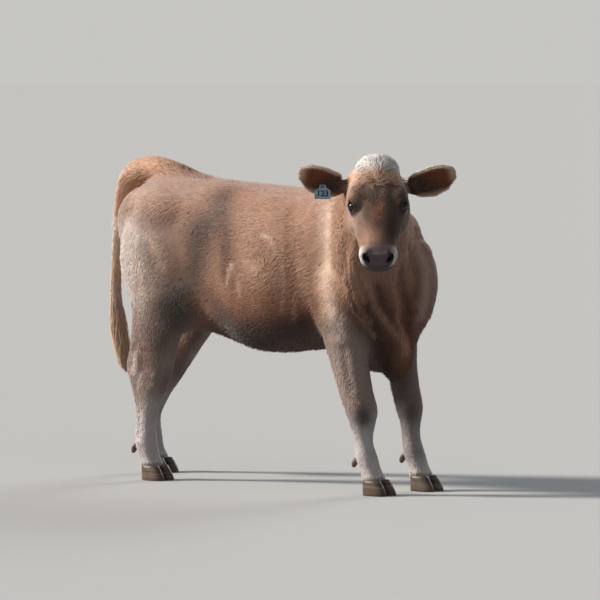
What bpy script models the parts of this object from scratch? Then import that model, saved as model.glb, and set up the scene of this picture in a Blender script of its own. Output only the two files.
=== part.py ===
"""A young polled beef cow standing square at its real size: a still model.

Axes: +X is forward along the trunk, +Y is the animal's left, +Z is up. The soles stand
on Z = 0 and the middle of the whole animal's box is at X = Y = 0. Lengths are in metres.
The surface is the outline of the coat: the skin lies some millimetres inside it.

The flesh is built from lofts (trunk, neck, head, legs, tail) and muscle masses (spheres)
that a voxel Remesh fuses into one body, which is smoothed, simplified and then cut with
thin slabs into trunk, neck, head, legs and tail.
"""
import bpy
import bmesh
import math
import numpy as np
from mathutils import Matrix, Vector

# ---------------------------------------------------------------------------
# Driving dimensions
# ---------------------------------------------------------------------------
HIP_HEIGHT = 1.118        # top of the croup
STANCE_X = 0.503          # the right fore foot stands this far before mid-trunk
HIND_X = 0.531            # the right hind foot stands this far behind it
STANCE_Y = 0.130          # half the distance between the fore feet
HIND_STANCE_Y = 0.140     # half the distance between the hind feet
STEP_BACK = 0.225         # the left hind foot stands this far behind the right one
HEAD_POLL = (0.655, -0.261, 1.178)   # top of the poll
HEAD_YAW = -50.0          # degrees, the head is turned to the animal's right
HEAD_PITCH = 44.0         # degrees, the face slopes down this much
HEAD_LENGTH = 0.392       # poll to muzzle
EAR_LENGTH = 0.198
EAR_RISE = 15.0           # degrees, the ears stand out and a little up
EYE_RADIUS = 0.0175
EYE = (0.1700, 0.0838, -0.0426)      # centre of the left eye, in head axes
HOOF_TOP = 0.0550         # height of the coronet
TAG_SIZE = (0.056, 0.050, 0.0016)    # ear tag: width, height, thickness
SHIFT = (0.0, 0.109)        # moves mid-trunk so that the whole box is centred on X = Y = 0
GAP = 0.0003              # clearance between touching nodes
VOXEL = 0.009             # remesh size of the flesh
FLESH_TRIANGLES = 3840    # of the fused body, before it is cut


# ---------------------------------------------------------------------------
# Tables of sections. The outline of each form is a superellipse, power 2 is an ellipse.
# ---------------------------------------------------------------------------
TRUNK = [  # x, top, bottom, widest z, half width, power
    (-0.700, 1.022, 0.780, 0.905, 0.092, 2.0),   # pins
    (-0.645, 1.088, 0.690, 0.895, 0.136, 2.1),
    (-0.550, 1.113, 0.620, 0.880, 0.178, 2.3),   # rump
    (-0.410, HIP_HEIGHT, 0.578, 0.860, 0.195, 2.4),   # hips
    (-0.270, 1.110, 0.535, 0.815, 0.187, 2.4),   # loin
    (-0.175, 1.102, 0.510, 0.790, 0.194, 2.4),   # hollow of the flank
    (-0.050, 1.094, 0.482, 0.765, 0.230, 2.3),   # back
    (0.100, 1.086, 0.490, 0.765, 0.2412, 2.3),   # ribs
    (0.260, 1.088, 0.500, 0.775, 0.208, 2.3),    # girth
    (0.380, 1.070, 0.480, 0.750, 0.180, 2.2),    # shoulder
    (0.480, 0.990, 0.445, 0.710, 0.150, 2.1),    # chest
    (0.560, 0.870, 0.480, 0.670, 0.110, 2.0),    # breast
]
MUSCLES = [  # centre x, y, z, half sizes, turned nose-down by; each is made on both sides
    ((-0.460, 0.108, 0.960), (0.164, 0.103, 0.134), 12),    # croup
    ((-0.468, 0.124, 0.805), (0.198, 0.103, 0.212), -10),   # thigh
    ((-0.600, 0.088, 0.800), (0.078, 0.086, 0.208), -4),    # ham
    ((-0.632, 0.098, 0.962), (0.085, 0.056, 0.118), 0),     # pin
    ((0.325, 0.112, 0.900), (0.134, 0.083, 0.194), 18),     # shoulder blade
    ((0.440, 0.138, 0.735), (0.149, 0.077, 0.134), -30),    # arm and point of the shoulder
    ((0.400, 0.140, 0.630), (0.105, 0.064, 0.112), 10),     # elbow
    ((-0.292, 0.122, 0.628), (0.092, 0.052, 0.077), 25),    # flank fold
]
BRISKET = ((0.470, 0.0, 0.530), (0.132, 0.078, 0.097), -22)
DEWLAP = ((0.538, -0.010, 0.505), (0.078, 0.048, 0.112), 0)
NECK = [  # share of the neck's length, left, right, crest and throat half sizes, power
    (-0.05, .168, .153, .190, .300, 2.2),
    (0.25, .173, .151, .174, .282, 2.2),
    (0.55, .155, .133, .141, .223, 2.2),
    (0.85, .121, .111, .109, .158, 2.1),
    (1.05, .095, .093, .083, .113, 2.0),
]
NECK_STRETCH = [   # left side of the turned neck, down to the breast
    ((0.475, 0.070, 0.882), (0.118, 0.090, 0.135), -30, 20), ((0.520, 0.080, 0.735), (0.120, 0.087, 0.190), 0, 6)]
NECK_START, NECK_END = (0.360, 0.020, 0.850), (0.600, -0.220, 1.088)
SKULL = [  # along the head, centre height, up, down, half width, power
    (0.000, -0.095, 0.085, 0.085, 0.080, 2.2),
    (0.050, -0.095, 0.098, 0.100, 0.098, 2.3),
    (0.110, -0.095, 0.098, 0.105, 0.106, 2.4),   # forehead
    (0.170, -0.095, 0.090, 0.100, 0.103, 2.4),   # eyes
    (0.235, -0.098, 0.078, 0.080, 0.082, 2.4),   # bridge of the nose
    (0.300, -0.103, 0.065, 0.062, 0.068, 2.3),
    (0.350, -0.106, 0.056, 0.055, 0.066, 2.3),
    (0.385, -0.110, 0.044, 0.048, 0.060, 2.3),   # muzzle
]
JAW = [
    (0.050, -0.160, .050, .060, .070, 2.2), (0.120, -0.160, .055, .062, .082, 2.2),
    (0.200, -0.158, .050, .052, .072, 2.2), (0.280, -0.150, .040, .038, .052, 2.2),
    (0.355, -0.142, .032, .030, .044, 2.2),
]
FACE = [  # masses on both sides of the head
    ((0.125, 0.078, -0.125), (0.087, 0.038, 0.074)),    # cheek
    ((0.140, 0.080, -0.024), (0.040, 0.022, 0.024)),    # brow
    ((0.368, 0.042, -0.092), (0.030, 0.026, 0.028)),    # nostril wing
]
TUFT = ((-0.002, 0.0, -0.040), (0.072, 0.076, 0.052))   # curly hair on the poll
FORELEG = [  # z, dx, dy, front, back, outer, inner
    (0.680, -0.115, 0.005, 0.050, 0.055, 0.040, 0.040),   # elbow
    (0.600, -0.105, 0.008, 0.082, 0.088, 0.055, 0.055),
    (0.530, -0.088, 0.010, 0.080, 0.086, 0.056, 0.055),   # upper forearm
    (0.450, -0.066, 0.008, 0.071, 0.079, 0.056, 0.053),   # forearm
    (0.370, -0.046, 0.004, 0.064, 0.070, 0.055, 0.051),   # above the knee
    (0.300, -0.028, 0.000, 0.063, 0.063, 0.057, 0.052),   # knee
    (0.245, -0.020, 0.000, 0.047, 0.051, 0.044, 0.041),   # below the knee
    (0.190, -0.014, 0.000, 0.034, 0.041, 0.034, 0.033),   # cannon
    (0.130, -0.001, 0.000, 0.040, 0.044, 0.040, 0.040),   # fetlock
    (0.088, 0.018, 0.000, 0.036, 0.040, 0.040, 0.040),    # pastern
    (0.055, 0.034, 0.000, 0.042, 0.046, 0.046, 0.046),    # coronet
]
HINDLEG = [
    (0.780, 0.103, -0.020, 0.060, 0.070, 0.040, 0.040),
    (0.680, 0.098, 0.010, 0.125, 0.145, 0.072, 0.070),    # thigh
    (0.580, 0.078, 0.018, 0.112, 0.134, 0.066, 0.062),    # gaskin
    (0.490, 0.050, 0.012, 0.100, 0.116, 0.060, 0.056),
    (0.415, 0.030, 0.004, 0.094, 0.122, 0.052, 0.050),    # point of the hock
    (0.350, 0.016, 0.000, 0.076, 0.090, 0.050, 0.047),    # hock
    (0.285, 0.004, 0.000, 0.053, 0.061, 0.041, 0.039),
    (0.210, -0.004, 0.000, 0.039, 0.048, 0.035, 0.033),   # cannon
    (0.135, -0.004, 0.000, 0.041, 0.049, 0.041, 0.041),   # fetlock
    (0.090, 0.010, 0.000, 0.036, 0.042, 0.040, 0.040),    # pastern
    (0.055, 0.028, 0.000, 0.042, 0.046, 0.046, 0.046),    # coronet
]
FEET = {  # name: (table, foot x, foot y, side, forward lean of the top, thickness at the knee)
    "foreleg_right": (FORELEG, STANCE_X, -STANCE_Y, -1, 0.0, 1.0),
    "foreleg_left": (FORELEG, STANCE_X + 0.008, STANCE_Y, 1, 0.0, 0.86),
    "hindleg_right": (HINDLEG, -HIND_X, -HIND_STANCE_Y, -1, 0.0, 1.0),
    "hindleg_left": (HINDLEG, -HIND_X - STEP_BACK, HIND_STANCE_Y, 1, 0.168, 0.96),
}
STIFLE = ((0.196, 0.018, 0.650), (0.088, 0.055, 0.112), 25)   # from the hind foot
TAIL = [  # x, z, half width, half thickness
    (-0.360, 1.070, 0.040, 0.036),
    (-0.480, 1.114, 0.040, 0.038),
    (-0.600, 1.140, 0.040, 0.042),   # top of the raised tail head
    (-0.680, 1.134, 0.040, 0.044),
    (-0.733, 1.104, 0.038, 0.043),
    (-0.762, 1.040, 0.034, 0.038),
    (-0.786, 0.950, 0.029, 0.032),
    (-0.804, 0.850, 0.027, 0.027),
    (-0.815, 0.730, 0.027, 0.025),
    (-0.811, 0.630, 0.030, 0.027),   # switch
    (-0.794, 0.530, 0.033, 0.030),
    (-0.775, 0.440, 0.027, 0.025),
    (-0.765, 0.390, 0.013, 0.012),
]
EAR = [  # share of the length, centre across and through, up, down, front, back
    (-0.10, 0.000, -0.012, .026, .026, .026, .024),
    (0.15, 0.000, -0.012, .030, .036, .026, .024),
    (0.30, 0.000, -0.012, .038, .050, .024, .022),
    (0.55, 0.000, -0.010, .045, .060, .020, .018),
    (0.80, 0.002, -0.006, .040, .050, .015, .014),
    (0.94, 0.004, -0.004, .024, .028, .010, .010),
]
EAR_HOLLOW = [
    (0.25, 0.000, 0.012, .014, .018, .014, .008),
    (0.40, 0.000, 0.012, .030, .040, .030, .014),
    (0.62, 0.000, 0.012, .035, .048, .030, .014),
    (0.85, 0.002, 0.010, .024, .030, .020, .009),
]
CLAW = [  # z, centre forward, half width, front, back, power
    (0.000, 0.000, 0.0240, 0.054, 0.050, 2.6),
    (0.012, -0.001, 0.0245, 0.053, 0.050, 2.6),
    (0.034, -0.008, 0.0238, 0.047, 0.043, 2.4),
    (HOOF_TOP - GAP, -0.016, 0.0225, 0.040, 0.036, 2.3),
]


# ---------------------------------------------------------------------------
# Tools
# ---------------------------------------------------------------------------
for old in list(bpy.data.objects):
    bpy.data.objects.remove(old, do_unlink=True)
part = bpy.data.collections.new("young_cow")
tools = bpy.data.collections.new("cutters")
for group in (part, tools):
    bpy.context.scene.collection.children.link(group)

ROOT = Vector((SHIFT[0], SHIFT[1], 0.0))


def turn(yaw=0.0, pitch=0.0):
    """Rotation, degrees: nose-down pitch about Y, then yaw about Z."""
    return Matrix.Rotation(math.radians(yaw), 4, "Z") @ Matrix.Rotation(math.radians(pitch), 4, "Y")


def at(point):
    return Matrix.Translation(Vector(point))


def spline(rows, per):
    """Rows of numbers resampled with a Catmull-Rom spline, `per` steps a span."""
    rows = np.asarray(rows, float)
    ends = np.vstack([2 * rows[0] - rows[1], rows, 2 * rows[-1] - rows[-2]])
    out = []
    for i in range(1, len(rows)):
        p0, p1, p2, p3 = ends[i - 1:i + 3]
        for t in np.arange(per) / per:
            out.append(0.5 * (2 * p1 + (p2 - p0) * t + (2 * p0 - 5 * p1 + 4 * p2 - p3) * t * t
                              + (3 * p1 - p0 - 3 * p2 + p3) * t ** 3))
    out.append(rows[-1])
    return np.array(out)


def skin_rings(rings):
    """A closed mesh through rings of points, each end filled."""
    bm = bmesh.new()
    loops = [[bm.verts.new(p) for p in ring] for ring in rings]
    n = len(loops[0])
    for a, b in zip(loops[:-1], loops[1:]):
        for i in range(n):
            bm.faces.new((a[i], a[(i + 1) % n], b[(i + 1) % n], b[i]))
    bm.faces.new(loops[0][::-1])
    bm.faces.new(loops[-1])
    return bm


def loft(rows, axis, matrix=None, caps=(0.05, 0.05), sides=24, per=3, round_ends=True):
    """Superelliptic sections across X (axis 0) or Z (axis 2), rows of
    (station, centre a, centre b, +a, -a, +b, -b, power): a is Y, b is Z or X."""
    rows = spline(sorted(rows), per)
    ends = []
    if round_ends:
        for k in (75, 50, 25):
            lean = math.radians(k)
            for row, cap, sign in ((rows[0], caps[0], -1), (rows[-1], caps[1], 1)):
                end = row.copy()
                end[0] += sign * cap * math.sin(lean)
                end[3:7] *= math.cos(lean)
                ends.append(end)
    rows = sorted([list(r) for r in rows] + [list(e) for e in ends])
    rings = []
    for s, ca, cb, a1, a2, b1, b2, power in rows:
        ring = []
        for i in range(sides):
            t = 2 * math.pi * i / sides
            c, d = math.cos(t), math.sin(t)
            a = ca + math.copysign(abs(c) ** (2 / power), c) * (a1 if c > 0 else a2)
            b = cb + math.copysign(abs(d) ** (2 / power), d) * (b1 if d > 0 else b2)
            ring.append(Vector((s, a, b)) if axis == 0 else Vector((b, a, s)))
        rings.append(ring)
    bm = skin_rings(rings)
    if matrix is not None:
        bmesh.ops.transform(bm, matrix=matrix, verts=bm.verts)
    return bm


def tube(path, sides=16, per=4):
    """An elliptical tube along a path in the XZ plane of (x, z, half width, half thickness)."""
    rows = spline(path, per)
    rings = []
    for i, (x, z, wide, thick) in enumerate(rows):
        nxt, prv = rows[min(i + 1, len(rows) - 1)], rows[max(i - 1, 0)]
        along = Vector((nxt[0] - prv[0], 0, nxt[1] - prv[1])).normalized()
        out = along.cross(Vector((0, 1, 0)))
        rings.append([Vector((x, 0, z)) + out * thick * math.cos(2 * math.pi * k / sides)
                      + Vector((0, 1, 0)) * wide * math.sin(2 * math.pi * k / sides)
                      for k in range(sides)])
    tip = rows[-1]
    rings.append([Vector((tip[0] + 0.003, 0, tip[1] - 0.012)) + (p - Vector((tip[0], 0, tip[1]))) * 0.4
                  for p in rings[-1]])
    return skin_rings(rings)


def ball(centre, radii, matrix=None, segments=24, rings=14):
    bm = bmesh.new()
    bmesh.ops.create_uvsphere(bm, u_segments=segments, v_segments=rings, radius=1.0)
    m = at(centre) @ (matrix or Matrix()) @ Matrix.Diagonal((*radii, 1.0))
    bmesh.ops.transform(bm, matrix=m, verts=bm.verts)
    return bm


def block(size, matrix):
    bm = bmesh.new()
    bmesh.ops.create_cube(bm, size=1.0)
    bmesh.ops.transform(bm, matrix=matrix @ Matrix.Diagonal((*size, 1.0)), verts=bm.verts)
    return bm


def place(name, bm, group=part, shift=True):
    """A mesh object from a bmesh, moved from mid-trunk axes to the model's origin."""
    bmesh.ops.recalc_face_normals(bm, faces=bm.faces)   # the right ear's axes are mirrored
    if shift:
        bmesh.ops.translate(bm, vec=ROOT, verts=bm.verts)
    mesh = bpy.data.meshes.new(name)
    bm.to_mesh(mesh)
    bm.free()
    obj = bpy.data.objects.new(name, mesh)
    group.objects.link(obj)
    if group is tools:
        obj.display_type = "WIRE"
        obj.hide_render = True
    return obj


def joined(name, forms):
    """One object holding several closed forms, which Remesh then fuses."""
    out = bmesh.new()
    for bm in forms:
        bmesh.ops.recalc_face_normals(bm, faces=bm.faces)
        mesh = bpy.data.meshes.new("form")
        bm.to_mesh(mesh)
        bm.free()
        out.from_mesh(mesh)
        bpy.data.meshes.remove(mesh)
    return place(name, out)


def apply(obj):
    """Bakes the object's modifiers into its mesh."""
    graph = bpy.context.evaluated_depsgraph_get()
    graph.update()
    mesh = bpy.data.meshes.new_from_object(obj.evaluated_get(graph))
    obj.modifiers.clear()
    old, obj.data = obj.data, mesh
    bpy.data.meshes.remove(old)
    mesh.name = obj.name


def boolean(obj, other, operation="DIFFERENCE", solver="EXACT"):
    cut = obj.modifiers.new(operation.title(), "BOOLEAN")
    cut.operation, cut.object, cut.solver = operation, other, solver
    apply(obj)


def grown(obj, by):
    """A copy of a solid, pushed out along its normals, to cut a clearance with."""
    bm = bmesh.new()
    bm.from_mesh(obj.data)
    bm.normal_update()
    for v in bm.verts:
        v.co += v.normal * by
    return place(obj.name + "_room", bm, tools, shift=False)


def triangles(obj):
    return sum(len(p.vertices) - 2 for p in obj.data.polygons)


def simplify(obj, count):
    """Collapses edges down to about `count` triangles."""
    total = triangles(obj)
    if total > count:
        mod = obj.modifiers.new("Simplify", "DECIMATE")
        mod.ratio = count / total
        apply(obj)


def loose_parts(obj):
    """Splits a mesh object into its separate bodies, largest first."""
    bm = bmesh.new()
    bm.from_mesh(obj.data)
    bm.verts.ensure_lookup_table()
    seen, groups = set(), []
    for start in bm.verts:
        if start.index in seen:
            continue
        stack, group = [start], []
        seen.add(start.index)
        while stack:
            v = stack.pop()
            group.append(v.index)
            for e in v.link_edges:
                w = e.other_vert(v)
                if w.index not in seen:
                    seen.add(w.index)
                    stack.append(w)
        groups.append(set(group))
    bodies = []
    for group in sorted(groups, key=len, reverse=True):
        copy = bm.copy()
        copy.verts.ensure_lookup_table()
        bmesh.ops.delete(copy, geom=[v for v in copy.verts if v.index not in group], context="VERTS")
        bodies.append(copy)
    bm.free()
    return bodies


def middle(bm):
    return sum((v.co for v in bm.verts), Vector()) / len(bm.verts) - ROOT


def paint(obj, name, colour, roughness, metallic=0.0):
    mat = bpy.data.materials.get(name)
    if mat is None:
        mat = bpy.data.materials.new(name)
        mat.use_nodes = True
        bsdf = mat.node_tree.nodes["Principled BSDF"]
        bsdf.inputs["Base Color"].default_value = (*colour, 1.0)
        bsdf.inputs["Roughness"].default_value = roughness
        bsdf.inputs["Metallic"].default_value = metallic
        mat.diffuse_color = (*colour, 1.0)
    obj.data.materials.clear()
    obj.data.materials.append(mat)
    obj.data.shade_smooth()
    obj.data.set_sharp_from_angle(angle=math.radians(50))


HEAD = at(HEAD_POLL) @ turn(HEAD_YAW, HEAD_PITCH)
HEAD_SCALE = HEAD_LENGTH / 0.41


# ---------------------------------------------------------------------------
# Flesh: lofts and masses, fused
# ---------------------------------------------------------------------------
def trunk_forms():
    forms = [loft([(x, 0, mid, w, w, top - mid, mid - low, n) for x, top, low, mid, w, n in TRUNK],
                  0, caps=(0.035, 0.045), sides=32)]
    for side in (-1, 1):
        for (x, y, z), radii, tilt in MUSCLES:
            ahead = 0.012 * side if x > 0.42 else 0.0
            forms.append(ball((x + ahead, side * y, z), radii, turn(0, tilt)))
    for centre, radii, tilt in (BRISKET, DEWLAP):
        forms.append(ball(centre, radii, turn(0, tilt)))
    return forms


def leg_forms(name):
    table, x, y, side, lean, thin = FEET[name]
    rows = []
    for z, dx, dy, front, back, outer, inner in table:
        left, right = (outer, inner) if side > 0 else (inner, outer)
        w = thin if 0.2 < z < 0.5 else 1.0
        dx += lean * min(1.0, max(0.0, (z - 0.20) / 0.48)) ** 1.2
        rows.append((z, y + side * dy, x + dx, left * w, right * w, front * w, back * w, 2.2))
    forms = [loft(rows, 2, caps=(0.0, 0.05), per=3)]
    if name.startswith("hind"):
        (sx, sy, sz), radii, tilt = STIFLE
        forms.append(ball((x + 0.9 * lean + sx, y + side * sy, sz), radii, turn(0, tilt)))
    return forms


def neck_forms():
    a, b = Vector(NECK_START), Vector(NECK_END)
    d = b - a
    frame = at(a) @ turn(math.degrees(math.atan2(d.y, d.x)),
                         -math.degrees(math.atan2(d.z, math.hypot(d.x, d.y))))
    return [loft([(s * d.length, 0, 0, left, right, crest, throat, n)
                  for s, left, right, crest, throat, n in NECK], 0, frame, caps=(0.08, 0.05)),
            ] + [ball(centre, radii, turn(yaw, tilt)) for centre, radii, yaw, tilt in NECK_STRETCH]


def head_forms():
    k = HEAD_SCALE
    forms = [loft([(x * k, 0, z, w, w, up, down, n) for x, z, up, down, w, n in SKULL],
                  0, HEAD, caps=(0.045, 0.025)),
             loft([(x * k, 0, z, w, w, up, down, n) for x, z, up, down, w, n in JAW],
                  0, HEAD, caps=(0.04, 0.025))]
    for side in (-1, 1):
        for (x, y, z), radii in FACE:
            bm = ball((x * k, side * y, z), radii)
            bmesh.ops.transform(bm, matrix=HEAD, verts=bm.verts)
            forms.append(bm)
    bm = ball(*TUFT)
    bmesh.ops.transform(bm, matrix=HEAD, verts=bm.verts)
    forms.append(bm)
    return forms


forms = trunk_forms() + neck_forms() + head_forms()
for leg in FEET:
    forms += leg_forms(leg)
forms.append(tube(TAIL))
flesh = joined("flesh", forms)

fuse = flesh.modifiers.new("Fuse", "REMESH")
fuse.mode, fuse.voxel_size, fuse.adaptivity = "VOXEL", VOXEL, 0.0
apply(flesh)

# the big masses melt together, the face and the lower legs keep their shape
soft = flesh.vertex_groups.new(name="soft")
head_inverse = HEAD.inverted()
for v in flesh.data.vertices:
    p = v.co - ROOT
    h = head_inverse @ p
    weight = 1.0
    if p.z < 0.62:
        weight = max(0.25, min(1.0, (p.z - 0.36) / 0.20))
    if h.x > -0.06 and h.length < 0.52 and h.z > -0.24:
        weight = 0.35
    if p.x < -0.70:
        weight = min(weight, 0.3)
    soft.add([v.index], weight, "REPLACE")
smooth = flesh.modifiers.new("Melt", "SMOOTH")
smooth.factor, smooth.iterations, smooth.vertex_group = 0.5, 26, "soft"
apply(flesh)
swell = flesh.modifiers.new("Swell", "DISPLACE")   # gives back what smoothing took
swell.strength, swell.mid_level = 0.005, 0.0
apply(flesh)
simplify(flesh, FLESH_TRIANGLES)
flesh.vertex_groups.clear()

# ---------------------------------------------------------------------------
# Cut the flesh into its nodes with slabs as thick as the clearance
# ---------------------------------------------------------------------------
slabs = []


def slab(name, size, matrix):
    cutter = place("cut_" + name, block((size[0], size[1], GAP), matrix), tools)
    slabs.append(name)
    boolean(flesh, cutter)


for leg, (table, x, y, side, lean, thin) in FEET.items():
    hind = leg.startswith("hind")
    z = 0.522 if hind else 0.468
    ahead = (0.088 + 0.6 * lean) if hind else -0.07
    slab(leg, (0.36 if hind else 0.26, 0.170 if hind else 0.140), at((x + ahead, y + side * 0.008, z)))
    # the bottom of the pastern is cut flat where the claws meet it
    place_x = x + (0.028 if hind else 0.034)
    sole = place("cut_sole_" + leg, block((0.2, 0.14, 0.08), at((place_x, y, HOOF_TOP - 0.04))), tools)
    boolean(flesh, sole)
slab("neck", (0.66, 0.60), at((0.475, -0.030, 0.900)) @ turn(-38, 52))
slab("head", (0.50, 0.36), HEAD @ at((0.030, 0, -0.125)) @ turn(0, 39))
slab("tail_head", (0.112, 0.13), at((-0.708, 0, 1.116)) @ turn(0, 62))
slab("tail_dock", (0.12, 0.12), at((-0.783, 0, 0.975)) @ turn(0, 8))
slab("tail_switch", (0.10, 0.12), at((-0.818, 0, 0.690)))

BODIES = {  # about where the middle of each is
    "trunk": (-0.15, 0.0, 0.77), "neck": (0.53, -0.15, 0.96), "head": (0.75, -0.37, 0.98),
    "tail_head": (-0.75, 0.0, 1.08), "tail_dock": (-0.81, 0.0, 0.83), "tail_switch": (-0.80, 0.0, 0.54),
}
for leg, (table, x, y, side, lean, thin) in FEET.items():
    BODIES[leg] = (x + 0.15 * lean, y, 0.28)

nodes = {}
for body in loose_parts(flesh):
    if body.calc_volume() < 2e-5:      # a crumb
        body.free()
        continue
    where = middle(body)
    name = min((n for n in BODIES if n not in nodes), key=lambda n: (where - Vector(BODIES[n])).length)
    nodes[name] = place(name, body, shift=False)
bpy.data.objects.remove(flesh, do_unlink=True)


# ---------------------------------------------------------------------------
# Ears: a cupped leaf with its hollow side forward
# ---------------------------------------------------------------------------
def ear_frame(side):
    """X along the ear to its tip, Y across it (up), Z out of its hollow."""
    head = turn(HEAD_YAW).to_3x3()
    out, fore, up = head @ Vector((0, side, 0)), head @ Vector((1, 0, 0)), Vector((0, 0, 1))
    rise = math.radians(EAR_RISE)
    along = out * math.cos(rise) + up * math.sin(rise)
    face = (fore - along * fore.dot(along)).normalized()
    across = (up - along * up.dot(along) - face * up.dot(face)).normalized()
    frame = Matrix((along, across, face)).transposed().to_4x4()
    return at(HEAD @ Vector((0.035, side * 0.085, -0.085))) @ frame


EARS = {"ear_right": -1, "ear_left": 1}
for name, side in EARS.items():
    leaf = loft([(s * EAR_LENGTH, y, z, up, down, front, back, 2.0)
                 for s, y, z, up, down, front, back in EAR], 0, ear_frame(side),
                caps=(0.02, 0.012), sides=18, per=1)
    hollow = loft([(s * EAR_LENGTH, y, z, up, down, front, back, 2.0)
                   for s, y, z, up, down, front, back in EAR_HOLLOW], 0, ear_frame(side),
                  caps=(0.015, 0.012), sides=16, per=1)
    nodes[name] = place(name, leaf)
    boolean(nodes[name], place("cut_hollow_" + name, hollow, tools))
    for neighbour in ("head", "neck"):
        boolean(nodes[name], grown(nodes[neighbour], GAP))
    bodies = loose_parts(nodes[name])
    bodies[0].to_mesh(nodes[name].data)


# ---------------------------------------------------------------------------
# Eyes, set in sockets
# ---------------------------------------------------------------------------
for name, side in (("eye_right", -1), ("eye_left", 1)):
    spot = HEAD @ Vector((EYE[0], side * EYE[1], EYE[2]))
    nodes[name] = place(name, ball(spot, (EYE_RADIUS,) * 3, segments=14, rings=8))
    room = place("room_" + name, ball(spot, (EYE_RADIUS + GAP,) * 3, segments=14, rings=8), tools)
    boolean(nodes["head"], room)


# ---------------------------------------------------------------------------
# Hooves: two claws a foot, with flat soles, and two dewclaws behind the fetlock
# ---------------------------------------------------------------------------
for leg, (table, x, y, side, lean, thin) in FEET.items():
    hind = leg.startswith("hind")
    dx = 0.028 if hind else 0.034
    for claw, inward in (("inner", -side), ("outer", side)):
        name = leg.replace("leg", "hoof") + "_" + claw
        rows = []
        for z, ahead, w, front, back, power in CLAW:
            flat, round_ = 0.8 * w, w            # the side towards the cleft is flatter
            left, right = (round_, flat) if inward > 0 else (flat, round_)
            rows.append((z, 0, ahead, left, right, front, back, power))
        toe = at((x + dx + 0.020, y + inward * 0.0245, 0)) @ turn(inward * 2.5)
        nodes[name] = place(name, loft(rows, 2, toe, sides=16, per=1, round_ends=False))
    for claw, inward in (("inner", -side), ("outer", side)):
        name = leg.replace("leg", "dewclaw") + "_" + claw
        back = table[-3][4] - table[-3][1]
        spot = (x - back + 0.006, y + inward * 0.021, 0.114)
        form = dict(radii=(0.013, 0.0115, 0.021), matrix=turn(0, 25), segments=8, rings=6)
        nodes[name] = place(name, ball(spot, **form))
        form["radii"] = tuple(r + GAP for r in form["radii"])
        boolean(nodes[leg], place("room_" + name, ball(spot, **form), tools))


# ---------------------------------------------------------------------------
# Ear tag: a plate on a stud through the right ear
# ---------------------------------------------------------------------------
wide, high, thick = TAG_SIZE
hang = ear_frame(-1) @ at((0.104, -0.022, 0.0)) @ Matrix.Rotation(math.radians(-EAR_RISE), 4, "Z")
PIN, FACE_Z = 0.0030, 0.0075

outline = [(-0.5, 0.0), (-0.5, 0.58), (-0.22, 0.80), (-0.18, 1.0), (0.18, 1.0), (0.22, 0.80),
           (0.5, 0.58), (0.5, 0.0)]
bm = bmesh.new()
low = [bm.verts.new((u * wide, v * high - 0.90 * high, 0)) for u, v in outline]
face = bm.faces.new(low)
moved = bmesh.ops.extrude_face_region(bm, geom=[face])["geom"]
bmesh.ops.translate(bm, vec=(0, 0, thick), verts=[v for v in moved if isinstance(v, bmesh.types.BMVert)])
bmesh.ops.transform(bm, matrix=hang @ at((0, 0, FACE_Z)), verts=bm.verts)
nodes["ear_tag"] = place("ear_tag", bm)


def disc(radius, depth, z, segments=20):
    bm = bmesh.new()
    bmesh.ops.create_cone(bm, cap_ends=True, segments=segments, radius1=radius, radius2=radius, depth=depth)
    bmesh.ops.transform(bm, matrix=hang @ at((0, 0, z)), verts=bm.verts)
    return bm


REAR_Z = -0.0360
nodes["ear_tag_stud"] = place("ear_tag_stud", disc(PIN, FACE_Z - REAR_Z + 0.003, (FACE_Z + REAR_Z) / 2 + 0.0005, 12))
for label, radius, depth, z in (("head", 0.0075, 0.0030, FACE_Z + thick + GAP + 0.0015),
                                ("button", 0.0130, 0.0025, REAR_Z)):
    boolean(nodes["ear_tag_stud"], place("stud_" + label, disc(radius, depth, z), tools), "UNION")
bore = place("cut_bore", disc(PIN + GAP, 0.2, 0.0, 12), tools)
boolean(nodes["ear_tag"], bore)
boolean(nodes["ear_right"], bore)

# ---------------------------------------------------------------------------
# Materials
# ---------------------------------------------------------------------------
for name, obj in nodes.items():
    if "hoof" in name or "dewclaw" in name:
        paint(obj, "hoof_horn", (0.055, 0.043, 0.035), 0.45)
    elif name.startswith("eye"):
        paint(obj, "eye", (0.012, 0.008, 0.006), 0.08)
    elif name == "ear_tag":
        paint(obj, "tag_plastic", (0.50, 0.60, 0.68), 0.40)
    elif name == "ear_tag_stud":
        paint(obj, "stud_plastic", (0.45, 0.53, 0.60), 0.40)
    elif name.startswith("tail"):
        paint(obj, "tail_coat", (0.42, 0.20, 0.085), 0.80)
    elif name.startswith("ear"):
        paint(obj, "ear_coat", (0.20, 0.10, 0.055), 0.80)
    elif "leg" in name:
        paint(obj, "leg_coat", (0.40, 0.28, 0.19), 0.80)
    elif name == "head":
        paint(obj, "head_coat", (0.34, 0.20, 0.12), 0.80)
    elif name == "neck":
        paint(obj, "neck_coat", (0.45, 0.24, 0.12), 0.80)
    else:
        paint(obj, "coat", (0.48, 0.27, 0.14), 0.80)
for mesh in [m for m in bpy.data.meshes if not m.users]:
    bpy.data.meshes.remove(mesh)
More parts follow.
